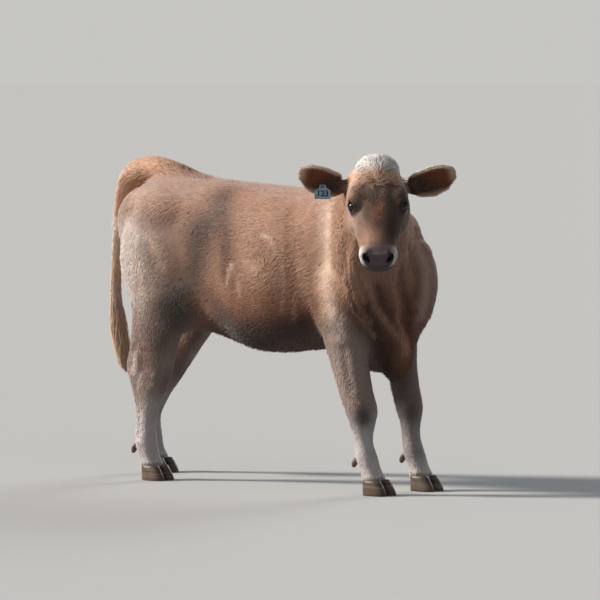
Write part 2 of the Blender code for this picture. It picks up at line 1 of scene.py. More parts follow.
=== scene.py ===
"""Looks of a young polled beef cow, a still model.

One skin is meshed from an implicit model of the animal and lies inside the solids by the depth
of the coat. The coat is solid mesh: short flat locks that follow the lie of the hair, and longer
curved locks on poll, ears, tail, brisket, belly and thighs. Skin and coat take their colour from
the same functions of place on the body. Lengths are in metres.
"""
import math
import bpy
import bmesh
import numpy as np
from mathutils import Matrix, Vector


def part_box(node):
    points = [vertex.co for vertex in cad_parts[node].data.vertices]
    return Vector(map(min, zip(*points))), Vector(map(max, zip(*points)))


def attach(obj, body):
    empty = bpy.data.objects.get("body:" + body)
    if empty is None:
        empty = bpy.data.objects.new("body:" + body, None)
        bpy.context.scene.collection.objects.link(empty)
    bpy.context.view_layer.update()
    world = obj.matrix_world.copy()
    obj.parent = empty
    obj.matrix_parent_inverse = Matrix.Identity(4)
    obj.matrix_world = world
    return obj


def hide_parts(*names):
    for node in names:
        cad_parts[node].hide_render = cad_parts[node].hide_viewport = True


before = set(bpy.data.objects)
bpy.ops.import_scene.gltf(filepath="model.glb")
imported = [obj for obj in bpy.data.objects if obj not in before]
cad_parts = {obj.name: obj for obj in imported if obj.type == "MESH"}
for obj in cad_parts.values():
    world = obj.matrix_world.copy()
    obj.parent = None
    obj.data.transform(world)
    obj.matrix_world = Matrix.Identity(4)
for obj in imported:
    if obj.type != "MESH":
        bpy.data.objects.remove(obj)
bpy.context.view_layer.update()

import openvdb
from mathutils import Matrix, Vector
from mathutils.bvhtree import BVHTree

# ---------------------------------------------------------------------------
# Driving dimensions. Tables are in axes with X = Y = 0 at mid-trunk; SHIFT takes them to the frame.
# ---------------------------------------------------------------------------
SHIFT = np.array([0.0, 0.109, 0.0])
STANCE_X = 0.503
HIND_X = 0.531
STANCE_Y = 0.130
HIND_STANCE_Y = 0.140
STEP_BACK = 0.225
HEAD_POLL = (0.655, -0.261, 1.178)
HEAD_YAW = -50.0
HEAD_PITCH = 44.0
HEAD_LENGTH = 0.392
EAR_LENGTH = 0.198
EAR_RISE = 15.0
EYE_RADIUS = 0.0175
HOOF_TOP = 0.0550

K = HEAD_LENGTH / 0.41
EYE = (0.1700, 0.0838, -0.0426)        # eye centre in head axes, mirrored
SKIN_ISO = -0.003                      # the first skin lies this deep in the outline
RNG = np.random.default_rng(11)


def spline(rows, per):
    """Rows of numbers resampled with a Catmull-Rom spline, `per` steps a span."""
    rows = np.asarray(rows, float)
    ends = np.vstack([2 * rows[0] - rows[1], rows, 2 * rows[-1] - rows[-2]])
    out = []
    for i in range(1, len(rows)):
        p0, p1, p2, p3 = ends[i - 1:i + 3]
        for t in np.arange(per) / per:
            out.append(0.5 * (2 * p1 + (p2 - p0) * t + (2 * p0 - 5 * p1 + 4 * p2 - p3) * t * t
                              + (3 * p1 - p0 - 3 * p2 + p3) * t ** 3))
    out.append(rows[-1])
    return np.array(out)


def turn(yaw=0.0, pitch=0.0, roll=0.0):
    """Rotation matrix, degrees: roll about X, then nose-down pitch, then yaw about Z."""
    a, b, c = np.radians([yaw, pitch, roll])
    rz = np.array([[np.cos(a), -np.sin(a), 0], [np.sin(a), np.cos(a), 0], [0, 0, 1]])
    ry = np.array([[np.cos(b), 0, np.sin(b)], [0, 1, 0], [-np.sin(b), 0, np.cos(b)]])
    rx = np.array([[1, 0, 0], [0, np.cos(c), -np.sin(c)], [0, np.sin(c), np.cos(c)]])
    return rz @ ry @ rx


class Slices:
    """A form given by flat sections across one axis: rows of
    (station, centre a, centre b, +a, -a, +b, -b, power), power 2 is an ellipse.
    Across X (axis 0) a is Y and b is Z; across Z (axis 2) a is Y and b is X."""

    def __init__(self, rows, axis=0, caps=(0.05, 0.05), m=None, o=(0, 0, 0), per=8):
        r = spline(sorted(rows), per)
        self.s, self.r, self.axis, self.caps = r[:, 0], r[:, 1:], axis, caps
        self.m = np.eye(3) if m is None else np.asarray(m, float)
        self.o = np.asarray(o, float)
        lo, hi = np.zeros(3), np.zeros(3)
        a, b = 1, 2 - axis
        lo[axis], hi[axis] = self.s[0] - caps[0], self.s[-1] + caps[1]
        lo[a], hi[a] = (r[:, 1] - r[:, 4]).min(), (r[:, 1] + r[:, 3]).max()
        lo[b], hi[b] = (r[:, 2] - r[:, 6]).min(), (r[:, 2] + r[:, 5]).max()
        corners = np.array([[x, y, z] for x in (lo[0], hi[0]) for y in (lo[1], hi[1])
                            for z in (lo[2], hi[2])]) @ self.m.T + self.o
        self.lo, self.hi = corners.min(0), corners.max(0)

    def __call__(self, p):
        q = (p - self.o.astype(p.dtype)) @ self.m.astype(p.dtype)
        s = q[:, self.axis]
        row = [np.interp(s, self.s, self.r[:, i]).astype(p.dtype) for i in range(7)]
        qa, qb = q[:, 1] - row[0], q[:, 2 - self.axis] - row[1]
        ra = np.where(qa > 0, row[2], row[3])
        rb = np.where(qb > 0, row[4], row[5])
        low, high = np.minimum(s - self.s[0], 0), np.maximum(s - self.s[-1], 0)
        over = low / self.caps[0] + high / self.caps[1]
        n = row[6]
        k = np.sqrt((np.abs(qa / ra) ** n + np.abs(qb / rb) ** n) ** (2 / n) + over ** 2)
        far = np.sqrt(qa * qa + qb * qb + (low + high) ** 2)
        return far * (1 - 1 / np.maximum(k, 1e-3))


class Tube:
    """A round-sectioned tube along a path of (x, y, z, radius across, radius through)."""

    def __init__(self, rows, side=(0, 1, 0), per=5, caps=None):
        r = spline(rows, per)
        self.c, self.r = r[:, :3], r[:, 3:5]
        d = np.gradient(self.c, axis=0)
        self.t = d / np.linalg.norm(d, axis=1)[:, None]
        b = np.asarray(side, float) - (self.t @ np.asarray(side, float))[:, None] * self.t
        self.b = b / np.linalg.norm(b, axis=1)[:, None]
        self.a = np.cross(self.t, self.b)
        self.cap = caps or (self.r[0].mean(), self.r[-1].mean())
        reach = np.maximum(self.r.max(1), max(self.cap))[:, None]
        self.lo, self.hi = (self.c - reach).min(0), (self.c + reach).max(0)

    def at(self, p):
        best, at = np.full(len(p), 1e9, p.dtype), np.zeros(len(p), p.dtype)
        for i in range(len(self.c) - 1):
            a, d = self.c[i], self.c[i + 1] - self.c[i]
            q = p - a.astype(p.dtype)
            t = np.clip(q @ (d / (d @ d)).astype(p.dtype), 0, 1)
            q -= t[:, None] * d.astype(p.dtype)
            dist = np.einsum("ij,ij->i", q, q)
            near = dist < best
            best[near], at[near] = dist[near], (i + t)[near]
        return at

    def __call__(self, p):
        at = self.at(p)
        i = np.minimum(at.astype(int), len(self.c) - 2)
        w = (at - i)[:, None]
        c, t, a, b, r = [(v[i] * (1 - w) + v[i + 1] * w).astype(p.dtype)
                         for v in (self.c, self.t, self.a, self.b, self.r)]
        q = p - c
        qa, qb, qt = (q * a).sum(1), (q * b).sum(1), (q * t).sum(1)
        over = np.where(at <= 0, np.minimum(qt, 0) / self.cap[0],
                        np.where(at >= len(self.c) - 1, np.maximum(qt, 0) / self.cap[1], 0))
        k = np.sqrt((qb / r[:, 0]) ** 2 + (qa / r[:, 1]) ** 2 + over ** 2)
        far = np.sqrt(qa * qa + qb * qb + np.where(over != 0, qt * qt, 0))
        return far * (1 - 1 / np.maximum(k, 1e-3))


class Ball:
    """An ellipsoid with half sizes r, turned by the matrix m."""

    def __init__(self, c, r, m=None):
        self.c, self.r = np.asarray(c, float), np.asarray(r, float)
        self.m = np.eye(3) if m is None else np.asarray(m, float)
        reach = np.sqrt(((self.m * self.r) ** 2).sum(1))
        self.lo, self.hi = self.c - reach, self.c + reach

    def __call__(self, p):
        q = (p - self.c.astype(p.dtype)) @ self.m.astype(p.dtype)
        r = self.r.astype(p.dtype)
        k0 = np.sqrt(((q / r) ** 2).sum(1))
        k1 = np.sqrt(((q / (r * r)) ** 2).sum(1))
        return k0 * (k0 - 1) / np.maximum(k1, 1e-6)


class Line:
    """A soft line through points; press() sinks or raises the surface along it."""

    def __init__(self, points, width, per=4):
        self.c, self.width = spline(points, per), width
        self.lo, self.hi = self.c.min(0), self.c.max(0)

    def __call__(self, p):
        best = np.full(len(p), 1e9, p.dtype)
        for a, b in zip(self.c[:-1], self.c[1:]):
            d = b - a
            q = p - a.astype(p.dtype)
            t = np.clip(q @ (d / max(d @ d, 1e-12)).astype(p.dtype), 0, 1)
            q -= t[:, None] * d.astype(p.dtype)
            best = np.minimum(best, np.einsum("ij,ij->i", q, q))
        return np.exp(-best / self.width ** 2)


class Clay:
    """A list of steps: add (melt in), cut (melt away) and press (groove > 0, ridge < 0)."""

    def __init__(self, m=None, o=(0, 0, 0)):
        self.steps, self.m, self.o = [], np.eye(3) if m is None else m, np.asarray(o, float)

    def add(self, shape, k=0.02):
        self.steps.append(("add", shape, k))
        return self

    def cut(self, shape, k=0.005):
        self.steps.append(("cut", shape, k))
        return self

    def press(self, shape, depth):
        self.steps.append(("press", shape, depth))
        return self

    def box(self):
        lo = np.min([s.lo for o, s, _ in self.steps if o == "add"], 0)
        hi = np.max([s.hi for o, s, _ in self.steps if o == "add"], 0)
        corners = np.array([[x, y, z] for x in (lo[0], hi[0]) for y in (lo[1], hi[1])
                            for z in (lo[2], hi[2])]) @ self.m.T + self.o
        return corners.min(0), corners.max(0)

    def __call__(self, p):
        """Signed distance, roughly: below 0 inside."""
        q = (p - self.o.astype(p.dtype)) @ self.m.astype(p.dtype)
        f = np.full(len(p), 0.3, p.dtype)
        for op, shape, k in self.steps:
            m = (3 * shape.width if op == "press" else abs(k)) + 0.012
            near = np.flatnonzero(((q > shape.lo - m) & (q < shape.hi + m)).all(1))
            if not len(near):
                continue
            g, h = shape(q[near]), f[near]
            if op == "add":
                f[near] = melt(h, g, k)
            elif op == "cut":
                f[near] = -melt(-h, g, k)
            else:
                f[near] = h + k * g
        return f


def melt(a, b, k):
    w = np.clip(0.5 + 0.5 * (a - b) / k, 0, 1)
    return a * (1 - w) + b * w - k * w * (1 - w)


# ---------------------------------------------------------------------------
# The animal
# ---------------------------------------------------------------------------
TRUNK = [  # x, top, bottom, widest z, half width, power
    (-0.700, 1.022, 0.780, 0.905, 0.092, 2.0),   # pins
    (-0.645, 1.088, 0.690, 0.895, 0.136, 2.1),
    (-0.550, 1.113, 0.620, 0.880, 0.178, 2.3),   # rump
    (-0.410, 1.116, 0.578, 0.860, 0.195, 2.4),   # hips
    (-0.270, 1.110, 0.535, 0.815, 0.187, 2.4),   # loin
    (-0.175, 1.102, 0.510, 0.790, 0.194, 2.4),   # hollow of the flank
    (-0.050, 1.094, 0.482, 0.765, 0.230, 2.3),   # back
    (0.100, 1.086, 0.490, 0.765, 0.2412, 2.3),   # ribs
    (0.260, 1.088, 0.500, 0.775, 0.208, 2.3),    # girth
    (0.380, 1.070, 0.480, 0.750, 0.180, 2.2),    # shoulder
    (0.480, 0.990, 0.445, 0.710, 0.150, 2.1),    # chest
    (0.560, 0.870, 0.480, 0.670, 0.110, 2.0),    # breast
]


FORM = [  # lines of the trunk's muscles, made on both sides: points, width, depth (below 0 is a ridge)
    ([(-0.175, 0.185, 0.950), (-0.170, 0.196, 0.870), (-0.178, 0.198, 0.810), (-0.205, 0.198, 0.749), (-0.233, 0.195, 0.690), (-0.245, 0.185, 0.630)], 0.050, 0.007),   # thigh to flank
    ([(-0.400, 0.150, 1.060), (-0.395, 0.175, 1.030)], 0.040, -0.006),                                              # hook bone
    ([(-0.500, 0.200, 0.930), (-0.490, 0.212, 0.850), (-0.460, 0.214, 0.770), (-0.420, 0.205, 0.680)], 0.034, 0.004),   # between the thigh muscles
    ([(-0.455, 0.212, 0.900), (-0.425, 0.218, 0.850), (-0.390, 0.214, 0.790)], 0.022, -0.003),
    ([(-0.600, 0.130, 0.960), (-0.630, 0.140, 0.850), (-0.620, 0.140, 0.740)], 0.022, 0.005),
    ([(0.215, 0.170, 1.020), (0.240, 0.205, 0.920), (0.262, 0.205, 0.800), (0.290, 0.200, 0.690), (0.290, 0.170, 0.590)], 0.034, 0.013),        # behind the shoulder
    ([(0.300, 0.120, 1.060), (0.345, 0.178, 0.960), (0.400, 0.196, 0.840), (0.450, 0.200, 0.745)], 0.022, -0.004),  # spine of the shoulder blade
    ([(0.365, 0.205, 0.900), (0.395, 0.208, 0.800), (0.370, 0.205, 0.700)], 0.024, 0.006),                          # above the arm
    ([(0.395, 0.205, 0.690), (0.440, 0.205, 0.650), (0.490, 0.180, 0.600)], 0.018, 0.007),                          # under the arm
    ([(0.335, 0.195, 0.640), (0.345, 0.190, 0.560), (0.360, 0.180, 0.500)], 0.020, 0.005),                          # elbow
    ([(0.120, 0.238, 0.900), (0.060, 0.242, 0.780), (0.030, 0.220, 0.640)], 0.016, 0.0016),                         # ribs
    ([(0.060, 0.238, 0.930), (-0.010, 0.242, 0.790), (-0.040, 0.220, 0.650)], 0.016, 0.0016),
    ([(-0.005, 0.238, 0.940), (-0.080, 0.238, 0.790), (-0.110, 0.215, 0.660)], 0.016, 0.0016),
    ([(-0.300, 0.168, 0.600), (-0.235, 0.172, 0.575), (-0.165, 0.176, 0.548)], 0.022, -0.006),                      # skin fold of the flank
]
MIDLINE = [
    ([(0.610, 0.000, 0.700), (0.600, 0.000, 0.620), (0.585, 0.000, 0.560)], 0.014, -0.004),                         # keel of the brisket
    ([(-0.300, 0.030, 1.120), (-0.060, 0.030, 1.098), (0.200, 0.030, 1.090)], 0.016, -0.0025),                      # beside the backbone
    ([(-0.300, -0.030, 1.120), (-0.060, -0.030, 1.098), (0.200, -0.030, 1.090)], 0.016, -0.0025),
    ([(-0.300, 0.000, 1.122), (-0.060, 0.000, 1.100), (0.200, 0.000, 1.092)], 0.012, 0.003),
    ([(0.030, 0.000, 0.485), (0.080, 0.000, 0.488)], 0.020, -0.006),                                                # navel
]


def make_trunk():
    """Trunk, shoulders and haunches, in body axes."""
    c = Clay()
    c.add(Slices([(x, 0, zc, w, w, top - zc, zc - bottom, n) for x, top, bottom, zc, w, n in TRUNK],
                 caps=(0.035, 0.045)), 0.02)
    for s in (-1, 1):
        # haunch: gluteal mass, thigh and the rear edge of the ham
        c.add(Ball((-0.460, s * 0.108, 0.960), (0.160, 0.098, 0.130), turn(0, 12)), 0.08)
        c.add(Ball((-0.468, s * 0.124, 0.805), (0.194, 0.099, 0.208), turn(0, -10)), 0.07)
        c.add(Ball((-0.600, s * 0.088, 0.800), (0.075, 0.082, 0.205), turn(0, -4)), 0.07)
        c.add(Ball((-0.632, s * 0.098, 0.962), (0.082, 0.053, 0.115)), 0.06)
        # shoulder blade, arm and point of the shoulder
        c.add(Ball((0.325, s * 0.112, 0.900), (0.130, 0.078, 0.190), turn(0, 18)), 0.08)
        c.add(Ball((0.440 + s * 0.012, s * 0.138, 0.735), (0.145, 0.072, 0.130), turn(s * -8, -30)), 0.08)
        c.add(Ball((0.400, s * 0.140, 0.630), (0.105, 0.062, 0.110), turn(0, 10)), 0.06)
        # flank fold between belly and stifle
        c.add(Ball((-0.292, s * 0.122, 0.628), (0.090, 0.050, 0.075), turn(0, 25)), 0.06)
    # brisket, hanging between the forelegs
    c.add(Ball((0.470, 0, 0.530), (0.130, 0.075, 0.095), turn(0, -22)), 0.07)
    c.add(Ball((0.538, -0.010, 0.505), (0.076, 0.046, 0.110)), 0.05)
    for s in (-1, 1):
        for points, width, depth in FORM:
            c.press(Line([(x, s * y, z) for x, y, z in points], width), depth)
    for points, width, depth in MIDLINE:
        c.press(Line(points, width), depth)
    return c


def leg_rows(table, x, y, side, lean=0.0, thin=1.0):
    """Sections down a leg, from a table of z, dx, dy, front, back, outer, inner."""
    rows = []
    for z, dx, dy, front, back, outer, inner in table:
        left, right = (outer, inner) if side > 0 else (inner, outer)
        w = thin if 0.2 < z < 0.5 else 1.0
        dx = dx + lean * min(1.0, max(0.0, (z - 0.20) / 0.48)) ** 1.2
        rows.append((z, y + side * dy, x + dx, left * w, right * w, front * w, back * w, 2.2))
    return rows


FORELEG = [  # z, dx, dy, front, back, outer, inner
    (0.680, -0.115, 0.005, 0.050, 0.055, 0.040, 0.040),   # elbow
    (0.600, -0.105, 0.008, 0.082, 0.088, 0.055, 0.055),
    (0.530, -0.088, 0.010, 0.080, 0.086, 0.056, 0.055),   # upper forearm
    (0.450, -0.066, 0.008, 0.071, 0.079, 0.056, 0.053),   # forearm
    (0.370, -0.046, 0.004, 0.064, 0.070, 0.055, 0.051),   # above the knee
    (0.300, -0.028, 0.000, 0.063, 0.063, 0.057, 0.052),   # knee
    (0.245, -0.020, 0.000, 0.047, 0.051, 0.044, 0.041),   # below the knee
    (0.190, -0.014, 0.000, 0.034, 0.041, 0.034, 0.033),   # cannon
    (0.130, -0.001, 0.000, 0.040, 0.044, 0.040, 0.040),   # fetlock
    (0.088,  0.018, 0.000, 0.036, 0.040, 0.040, 0.040),   # pastern
    (0.055,  0.034, 0.000, 0.042, 0.046, 0.046, 0.046),   # coronet
]
HINDLEG = [
    (0.780, 0.103, -0.020, 0.060, 0.070, 0.040, 0.040),
    (0.680, 0.098, 0.010, 0.125, 0.145, 0.072, 0.070),    # thigh
    (0.580, 0.078, 0.018, 0.112, 0.134, 0.066, 0.062),    # gaskin
    (0.490, 0.050, 0.012, 0.100, 0.116, 0.060, 0.056),
    (0.415, 0.030, 0.004, 0.094, 0.122, 0.052, 0.050),    # point of the hock
    (0.350, 0.016, 0.000, 0.076, 0.090, 0.050, 0.047),    # hock
    (0.285, 0.004, 0.000, 0.053, 0.061, 0.041, 0.039),
    (0.210, -0.004, 0.000, 0.039, 0.048, 0.035, 0.033),   # cannon
    (0.135, -0.004, 0.000, 0.041, 0.049, 0.041, 0.041),   # fetlock
    (0.090, 0.010, 0.000, 0.036, 0.042, 0.040, 0.040),    # pastern
    (0.055, 0.028, 0.000, 0.042, 0.046, 0.046, 0.046),    # coronet
]
FEET = {  # name: (table, foot x, foot y, side, forward lean of the top, thickness at the knee)
    "foreleg_right": (FORELEG, STANCE_X, -STANCE_Y, -1, 0.0, 1.0),
    "foreleg_left": (FORELEG, STANCE_X + 0.008, STANCE_Y, 1, 0.0, 0.86),
    "hindleg_right": (HINDLEG, -HIND_X, -HIND_STANCE_Y, -1, 0.0, 1.0),
    "hindleg_left": (HINDLEG, -HIND_X - STEP_BACK, HIND_STANCE_Y, 1, 0.168, 0.96),
}


FORELINES = [  # dx, dy, z from the foot; made on both sides of the leg
    ([(-0.045, 0.030, 0.235), (-0.040, 0.028, 0.190), (-0.030, 0.032, 0.150)], 0.009, 0.0065),   # in front of the tendon
    ([(0.010, 0.050, 0.330), (0.028, 0.046, 0.300), (0.012, 0.049, 0.265)], 0.011, -0.0050),     # bones of the knee
    ([(0.024, 0.000, 0.345), (0.032, 0.000, 0.300), (0.022, 0.000, 0.262)], 0.020, -0.0045),
    ([(-0.070, 0.034, 0.320), (-0.080, 0.026, 0.290), (-0.068, 0.030, 0.262)], 0.011, 0.0045),
    ([(-0.060, 0.055, 0.520), (-0.045, 0.054, 0.440), (-0.030, 0.052, 0.380)], 0.016, 0.0060),   # between the forearm's muscles
    ([(0.034, 0.000, 0.085), (0.060, 0.000, 0.066), (0.070, 0.000, 0.052)], 0.008, 0.0050),      # cleft over the claws
    ([(-0.020, 0.038, 0.150), (-0.010, 0.040, 0.130)], 0.012, -0.0025),
]
HINDLINES = [
    ([(0.000, 0.046, 0.400), (-0.025, 0.040, 0.340), (-0.024, 0.036, 0.260)], 0.013, 0.0110),   # in front of the Achilles tendon
    ([(0.016, 0.050, 0.520), (-0.029, 0.046, 0.460), (-0.044, 0.036, 0.420)], 0.018, 0.0130),
    ([(-0.014, 0.030, 0.250), (-0.018, 0.028, 0.200), (-0.018, 0.032, 0.155)], 0.008, 0.0065),
    ([(0.070, 0.040, 0.380), (0.064, 0.042, 0.330)], 0.014, -0.0045),                            # bones of the hock
    ([(-0.074, 0.000, 0.440), (-0.078, 0.000, 0.400)], 0.018, -0.0060),
    ([(0.090, 0.030, 0.400), (0.082, 0.040, 0.375), (0.050, 0.050, 0.365)], 0.007, 0.0045),
    ([(0.028, 0.000, 0.085), (0.054, 0.000, 0.066), (0.064, 0.000, 0.052)], 0.008, 0.0050),
    ([(-0.021, 0.038, 0.150), (-0.011, 0.040, 0.130)], 0.012, -0.0025),
]


def make_leg(name):
    table, x, y, side, lean, thin = FEET[name]
    c = Clay()
    c.add(Slices(leg_rows(table, x, y, side, lean, thin), axis=2, caps=(0.004, 0.06)), 0.02)
    if name.startswith("hind"):
        # stifle, in front of the thigh
        c.add(Ball((x + 0.9 * lean + 0.196, y + side * 0.018, 0.650), (0.086, 0.052, 0.110), turn(0, 25)), 0.06)
    high = lambda z: lean * min(1.0, max(0.0, (z - 0.20) / 0.48)) ** 1.2
    for points, width, depth in (HINDLINES if name.startswith("hind") else FORELINES):
        for s in ((1, -1) if points[0][1] else (1,)):
            c.press(Line([(x + dx + high(z), y + s * dy, z) for dx, dy, z in points], width), depth)
    return c


FOLDS = [  # folds of the turned neck and of the dewlap, in body axes: points, width, depth
    ([(0.560, -0.207, 0.783), (0.557, -0.175, 0.733), (0.551, -0.134, 0.678), (0.565, -0.100, 0.629), (0.584, -0.071, 0.590), (0.593, -0.036, 0.555), (0.603, -0.031, 0.513), (0.593, -0.037, 0.472), (0.564, -0.040, 0.436)], 0.013, -0.013),   # edge of the dewlap
    ([(0.528, -0.209, 0.757), (0.533, -0.175, 0.685), (0.534, -0.117, 0.618), (0.556, -0.088, 0.569), (0.566, -0.059, 0.526), (0.568, -0.050, 0.478)], 0.022, 0.020),
    ([(0.573, -0.164, 0.743), (0.568, -0.112, 0.688), (0.580, -0.089, 0.639), (0.589, -0.064, 0.603)], 0.016, 0.015),
    ([(0.628, -0.120, 0.824), (0.605, -0.106, 0.760), (0.593, -0.068, 0.692), (0.592, -0.065, 0.635), (0.595, -0.037, 0.585), (0.604, -0.020, 0.529)], 0.012, -0.005),
    ([(0.615, -0.071, 0.793), (0.600, -0.028, 0.697), (0.600, -0.011, 0.612), (0.605, -0.006, 0.539)], 0.018, 0.013),
    ([(0.587, 0.040, 0.900), (0.613, 0.050, 0.835), (0.627, 0.048, 0.760), (0.620, 0.047, 0.690), (0.605, 0.047, 0.640)], 0.012, -0.006),
    ([(0.621, -0.030, 0.876), (0.602, 0.024, 0.794), (0.606, 0.021, 0.715)], 0.018, 0.008),
    ([(0.600, 0.080, 0.840), (0.605, 0.085, 0.760), (0.595, 0.085, 0.680)], 0.016, 0.004),
    ([(0.510, -0.245, 0.845), (0.497, -0.215, 0.757), (0.512, -0.186, 0.681), (0.518, -0.127, 0.619)], 0.009, -0.0045),
    ([(0.470, -0.219, 0.773), (0.481, -0.201, 0.694), (0.500, -0.164, 0.633), (0.520, -0.111, 0.572)], 0.009, -0.0045),
    ([(0.528, -0.241, 0.832), (0.520, -0.209, 0.754), (0.530, -0.177, 0.696)], 0.008, -0.0040),
    ([(0.492, -0.232, 0.820), (0.489, -0.209, 0.730), (0.505, -0.176, 0.660), (0.522, -0.120, 0.596)], 0.009, 0.0060),
    ([(0.540, -0.280, 0.925), (0.500, -0.254, 0.880), (0.463, -0.225, 0.794), (0.436, -0.211, 0.721)], 0.022, 0.010),   # in front of the shoulder blade
    ([(0.385, -0.199, 0.630), (0.431, -0.196, 0.617), (0.468, -0.181, 0.608), (0.488, -0.149, 0.583)], 0.018, 0.012),   # over the forearm
    ([(0.505, -0.262, 1.000), (0.520, -0.275, 0.930), (0.515, -0.262, 0.870)], 0.012, 0.004),
]


def make_neck():
    """In neck axes: X from between the shoulders to the poll, Z out of the crest."""
    a, b = np.array([0.360, 0.020, 0.850]), np.array([0.600, -0.220, 1.088])
    d = b - a
    c = Clay(turn(np.degrees(np.arctan2(d[1], d[0])),
                  -np.degrees(np.arctan2(d[2], np.hypot(d[0], d[1])))), a)
    n = np.linalg.norm(d)
    c.add(Slices([(-0.02, 0, 0.00, .165, .150, .190, .300, 2.2),
                  (0.25 * n, 0, 0.00, .170, .148, .172, .280, 2.2),
                  (0.55 * n, 0, 0.00, .152, .130, .138, .220, 2.2),
                  (0.85 * n, 0, 0.00, .118, .108, .106, .155, 2.1),
                  (1.05 * n, 0, 0.00, .092, .090, .080, .110, 2.0)], caps=(0.08, 0.05)), 0.05)
    # left side of the turned neck, in body axes
    centre = (np.array([0.475, 0.070, 0.882]) - c.o) @ c.m
    c.add(Ball(centre, (0.116, 0.087, 0.133), c.m.T @ turn(-30, 20)), 0.08)
    centre = (np.array([0.520, 0.080, 0.735]) - c.o) @ c.m
    c.add(Ball(centre, (0.117, 0.084, 0.187), c.m.T @ turn(0, 6)), 0.06)
    for points, width, depth in FOLDS:
        c.press(Line((np.array(points) - c.o) @ c.m, width), depth)
    return c


def eye_axes(s):
    """Columns: along the lids towards the muzzle, up across them, out of the eye."""
    out = np.array([0.42, s * 0.68, 0.60])
    out /= np.linalg.norm(out)
    along = np.array([1.0, 0.0, -0.30])
    along -= (along @ out) * out
    along /= np.linalg.norm(along)
    up = -np.cross(out, along) * s
    return np.array([along, up, out]).T


class Opening:
    """The almond between the lids, in head axes: the inside is open, out of the eye."""

    def __init__(self, s, long=0.0190, high=0.0110, up=0.0005):
        self.m, self.o, self.long, self.high, self.up = eye_axes(s), np.array([EYE[0], s * EYE[1], EYE[2]]), long, high, up
        self.lo, self.hi = self.o - 0.05, self.o + 0.05

    def __call__(self, p):
        q = (p - self.o.astype(p.dtype)) @ self.m.astype(p.dtype)
        a, b, d = q[:, 0] / self.long, q[:, 1] - self.up, q[:, 2]
        arch = np.clip(1 - a * a, 0, 1) ** 0.75 * self.high
        edge = np.abs(b) - arch
        edge = np.maximum(edge, (np.abs(a) - 1) * self.long)
        return np.maximum(edge, EYE_RADIUS * 0.35 - d)


def face_details(c):
    for s in (-1, 1):
        o = np.array([EYE[0], s * EYE[1], EYE[2]])
        m = eye_axes(s)
        lid = lambda a, b, d: o + m @ np.array([a, b, d])
        c.add(Ball(o - m @ np.array([0, 0, 0.004]), (0.027, 0.0245, 0.0215), m), 0.016)     # the lids' bulge over the eyeball
        c.press(Line([lid(-0.026, 0.004, 0.006), lid(-0.014, 0.0165, 0.014), lid(0.002, 0.0195, 0.015), lid(0.017, 0.014, 0.012), lid(0.027, 0.002, 0.006)], 0.0032), 0.0034)    # fold of the upper lid
        c.press(Line([lid(-0.022, -0.008, 0.008), lid(-0.008, -0.0185, 0.012), lid(0.008, -0.019, 0.012), lid(0.022, -0.010, 0.008)], 0.0032), 0.0026)     # fold of the lower lid
        c.press(Line([lid(-0.016, -0.026, 0.008), lid(0.004, -0.030, 0.008), lid(0.024, -0.022, 0.004)], 0.004), 0.0016)
        c.press(Line([lid(0.020, -0.001, 0.010), lid(0.030, -0.009, 0.004), lid(0.042, -0.016, 0.000)], 0.0035), 0.0026)     # tear groove
        c.cut(Opening(s), 0.0012)
        # nostril: wide above and outside, narrowing to the middle
        n = np.array([0.386, s * 0.0405, -0.0835])
        tilt = np.array([[0.88, 0, -0.47], [0, 1, 0], [0.47, 0, 0.88]]) @ turn(0, 0, s * -42)
        c.press(Line([(0.372, s * 0.030, -0.062), (0.364, s * 0.052, -0.068), (0.364, s * 0.066, -0.086)], 0.007), -0.003)  # rim above the nostril
        c.cut(Ball(n, (0.026, 0.0085, 0.0155), turn(s * 22, 0) @ tilt), 0.004)
        c.cut(Ball(n + np.array([-0.002, s * 0.012, 0.009]), (0.016, 0.0075, 0.0075), turn(s * 30, 0)), 0.004)
        c.cut(Ball(n + np.array([-0.012, s * 0.004, 0.001]), (0.016, 0.008, 0.011)), 0.004)
        c.press(Line([(0.366, s * 0.056, -0.100), (0.375, s * 0.052, -0.115), (0.383, s * 0.040, -0.124), (0.392, 0.0, -0.128)], 0.004), 0.0022)   # lower edge of the nose pad
        c.press(Line([(0.361, s * 0.000, -0.054), (0.359, s * 0.026, -0.055), (0.352, s * 0.048, -0.062)], 0.004), 0.0012)   # upper edge
        # corner and line of the mouth
        c.press(Line([(0.398, 0.0, -0.139), (0.388, s * 0.026, -0.139), (0.366, s * 0.047, -0.137), (0.335, s * 0.054, -0.139), (0.300, s * 0.056, -0.146), (0.275, s * 0.057, -0.152)], 0.0040), 0.0075)
        c.press(Line([(0.345, s * 0.060, -0.115), (0.315, s * 0.062, -0.118), (0.285, s * 0.064, -0.124)], 0.008), 0.0020)
        c.press(Line([(0.330, s * 0.046, -0.062), (0.290, s * 0.050, -0.056), (0.245, s * 0.058, -0.052)], 0.010), 0.0022)   # nasal muscle
        # cheek, jaw and temple
        c.press(Line([(0.205, s * 0.080, -0.075), (0.245, s * 0.074, -0.090), (0.285, s * 0.066, -0.105)], 0.012), -0.0025)   # facial crest
        c.press(Line([(0.215, s * 0.086, -0.120), (0.200, s * 0.094, -0.150), (0.170, s * 0.092, -0.180)], 0.014), 0.0035)   # in front of the cheek
        c.press(Line([(0.100, s * 0.100, -0.045), (0.080, s * 0.102, -0.060)], 0.020), 0.004)
        c.press(Line([(0.045, s * 0.105, -0.120), (0.060, s * 0.105, -0.165), (0.080, s * 0.095, -0.205)], 0.014), 0.004)    # behind the jaw
    c.press(Line([(0.391, 0, -0.070), (0.398, 0, -0.100), (0.398, 0, -0.132)], 0.0030), 0.0022)    # middle groove of the lip
    c.press(Line([(0.120, 0, 0.003), (0.160, 0, -0.006), (0.190, 0, -0.014)], 0.022), 0.0030)      # dish of the forehead


